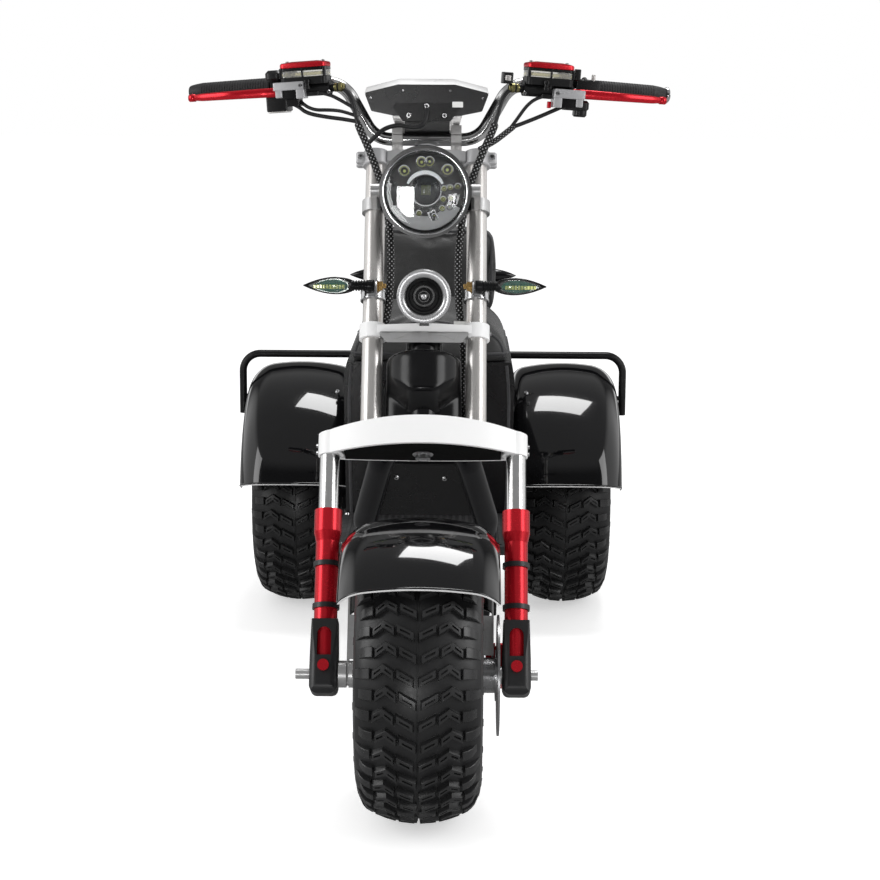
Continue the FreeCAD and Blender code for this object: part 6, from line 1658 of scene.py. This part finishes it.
def tyres():
    tree = tread_tree()
    row = tread_row()
    for node, across, along, body in (
        ("front_tyre", 0, 0, "front_wheel"),
        ("rear_tyre_left", REAR_PLACE, REAR_AXLE, "rear_wheel_left"),
        ("rear_tyre_right", -REAR_PLACE, REAR_AXLE, "rear_wheel_right"),
    ):
        centre = at(across, along, WHEEL_HEIGHT)
        lugs = tree.run(
            row.copy(), "lugs", Rows=42, Radius=WHEEL_HEIGHT * MM, Crown=TYRE_CROWN * MM, Wobble=0.004,
            Centre=centre, Material=tread_rubber.material)
        shape = bmesh.new()
        # Carcass in the darker rubber: painted shade on the floors between the lugs.
        lathe(shape, carcass_profile(), centre, LEFT, 128, 0, closed=True)
        lathe(shape, ((219.0, -1.2), (220.6, -0.6), (220.6, 0.6), (219.0, 1.2)), centre, LEFT, 128)
        bmesh.ops.recalc_face_normals(shape, faces=shape.faces)
        first = len(shape.faces)
        shape.from_mesh(lugs)
        shape.faces.ensure_lookup_table()
        for face in shape.faces[first:]:
            face.material_index = 1
        mesh = bpy.data.meshes.new("treaded_" + node)
        shape.to_mesh(mesh)
        shape.free()
        made = placed("treaded_" + node, mesh, [groove_shaded_tyre_rubber, tread_rubber], body, 30)
        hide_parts(node)


# Studio ---------------------------------------------------------------------------


def softbox(name, spot, aim, width, height, power):
    light = bpy.data.lights.new(name, "AREA")
    light.shape = "RECTANGLE"
    light.size, light.size_y = width, height
    light.energy = power
    made = in_scene(name, light)
    made.location = spot
    made.rotation_euler = (Vector(aim) - Vector(spot)).to_track_quat("-Z", "Y").to_euler()


def studio():
    """Camera, pale floor, white background and soft light at a plain level."""
    bpy.context.scene.view_settings.view_transform = "Standard"
    camera()
    pale_floor()
    surroundings()
    softbox("top_softbox", (0.3, 0.9, 3.9), (0.1, 0.2, 0.4), 1.5, 1.1, 62)
    softbox("left_softbox", (2.6, -1.6, 1.9), (0, 0, 0.5), 1.2, 1.8, 26)
    softbox("right_softbox", (-2.6, -1.4, 1.7), (0, 0, 0.5), 1.2, 1.8, 24)
    lamp_face = at(0, LAMP_FRONT, LAMP_HEIGHT)
    softbox("front_left_card", at(-565, -4500, 425), lamp_face, 0.42, 0.74, 22)
    softbox("front_right_card", at(690, -4500, 440), lamp_face, 0.2, 0.36, 5)


def camera():
    """The photograph's view: from ahead and above the bar, nearly level."""
    optics = bpy.data.cameras.new("camera")
    optics.sensor_width = 36
    optics.lens = 81.8
    made = in_scene("camera", optics)
    made.location = at(57, -3000, 1160)
    made.rotation_euler = (math.radians(90 - 10.55), math.radians(-0.3), 0.0103)
    bpy.context.scene.camera = made


def pale_floor():
    """A wide floor that looks white, and darker in reflections."""
    shape = bmesh.new()
    bmesh.ops.create_grid(shape, x_segments=1, y_segments=1, size=30)
    mesh = bpy.data.meshes.new("floor")
    shape.to_mesh(mesh)
    shape.free()
    floor = in_scene("floor", mesh)
    ground = Finish("pale_floor", (0.93, 0.93, 0.93), roughness=0.9, Specular_IOR_Level=0.1,
        Emission_Strength=0.5)
    camera_ray = ground.node("ShaderNodeLightPath", {}, {})
    rays = camera_ray.socket.node.outputs
    glossy, clear = Wire(ground, rays["Is Glossy Ray"]), Wire(ground, rays["Is Transmission Ray"])
    ground.put("Emission Color", ground.blend(camera_ray + glossy * 0.2 + clear, (0, 0, 0), (1, 1, 1)))
    ground.put("Base Color", ground.blend(glossy, (0.93, 0.93, 0.93), (0.2, 0.2, 0.2)))
    mesh.materials.append(ground.material)


def surroundings():
    """White to the camera, even to plain surfaces, and for reflections white walls at the sides and
    behind with a dark room above and in front."""
    world = bpy.data.worlds.new("studio")
    bpy.context.scene.world = world
    world.use_nodes = True
    nodes, links = world.node_tree.nodes, world.node_tree.links
    nodes.clear()
    out = nodes.new("ShaderNodeOutputWorld")
    rays = nodes.new("ShaderNodeLightPath")
    soft = nodes.new("ShaderNodeBackground")
    soft.inputs["Color"].default_value = (1, 1, 1, 1)
    soft.inputs["Strength"].default_value = 0.62
    white = nodes.new("ShaderNodeBackground")
    white.inputs["Strength"].default_value = 1.0
    direction = nodes.new("ShaderNodeTexCoord")
    parts = nodes.new("ShaderNodeSeparateXYZ")
    links.new(direction.outputs["Generated"], parts.inputs[0])
    across, along, height = parts.outputs

    def ranged(socket, start, end, low, high):
        made = nodes.new("ShaderNodeMapRange")
        made.interpolation_type = "SMOOTHSTEP"
        links.new(socket, made.inputs["Value"])
        for name, value in (("From Min", start), ("From Max", end), ("To Min", low), ("To Max", high)):
            made.inputs[name].default_value = value
        return made.outputs[0]

    def maths(operation, first, second):
        made = nodes.new("ShaderNodeMath")
        made.operation = operation
        for socket, value in zip(made.inputs, (first, second)):
            if isinstance(value, bpy.types.NodeSocket):
                links.new(value, socket)
            else:
                socket.default_value = value
        return made.outputs[0]

    wide = maths("ABSOLUTE", across, 0)
    sides = maths("MULTIPLY", ranged(wide, 0.45, 0.8, 0, 1), ranged(height, 0.55, 0.9, 1, 0))
    back = maths("MULTIPLY", ranged(along, 0.1, 0.6, 0, 1), ranged(height, 0.0, 0.15, 1, 0))
    lit = maths("MAXIMUM", maths("MAXIMUM", sides, back), ranged(height, 0.5, 0.66, 0.08, 0.30))
    camera_ray, glossy, clear = (
        rays.outputs["Is %s Ray" % kind] for kind in ("Camera", "Glossy", "Transmission"))
    links.new(maths("MAXIMUM", camera_ray, lit), white.inputs["Color"])
    mix = nodes.new("ShaderNodeMixShader")
    links.new(maths("MAXIMUM", camera_ray, maths("MAXIMUM", glossy, clear)), mix.inputs[0])
    links.new(soft.outputs[0], mix.inputs[1])
    links.new(white.outputs[0], mix.inputs[2])
    links.new(mix.outputs[0], out.inputs["Surface"])


studio()
finish_nodes()
cables()
for bar_side in (-1, 1):
    lever_group(bar_side)
dash_trim()
lamp_front()
lamp_optics()
lamp_projector()
horn()
signal_lamps("front_signals", "fork", 117, 279.7, 806.5, True, "front_signal")
signal_lamps("rear_signals", "chassis", 95, 1285.2, 722, False, "rear_signal")
front_signal_mounts()
neck_hood()
saddle_cushion()
backrest_cushion()
seat_piping()
fender_beads()
top_clamp()
crown_pocket()
yoke_tray()
fork_screws()
springs()
rear_ribs()
rear_screws()
tyres()
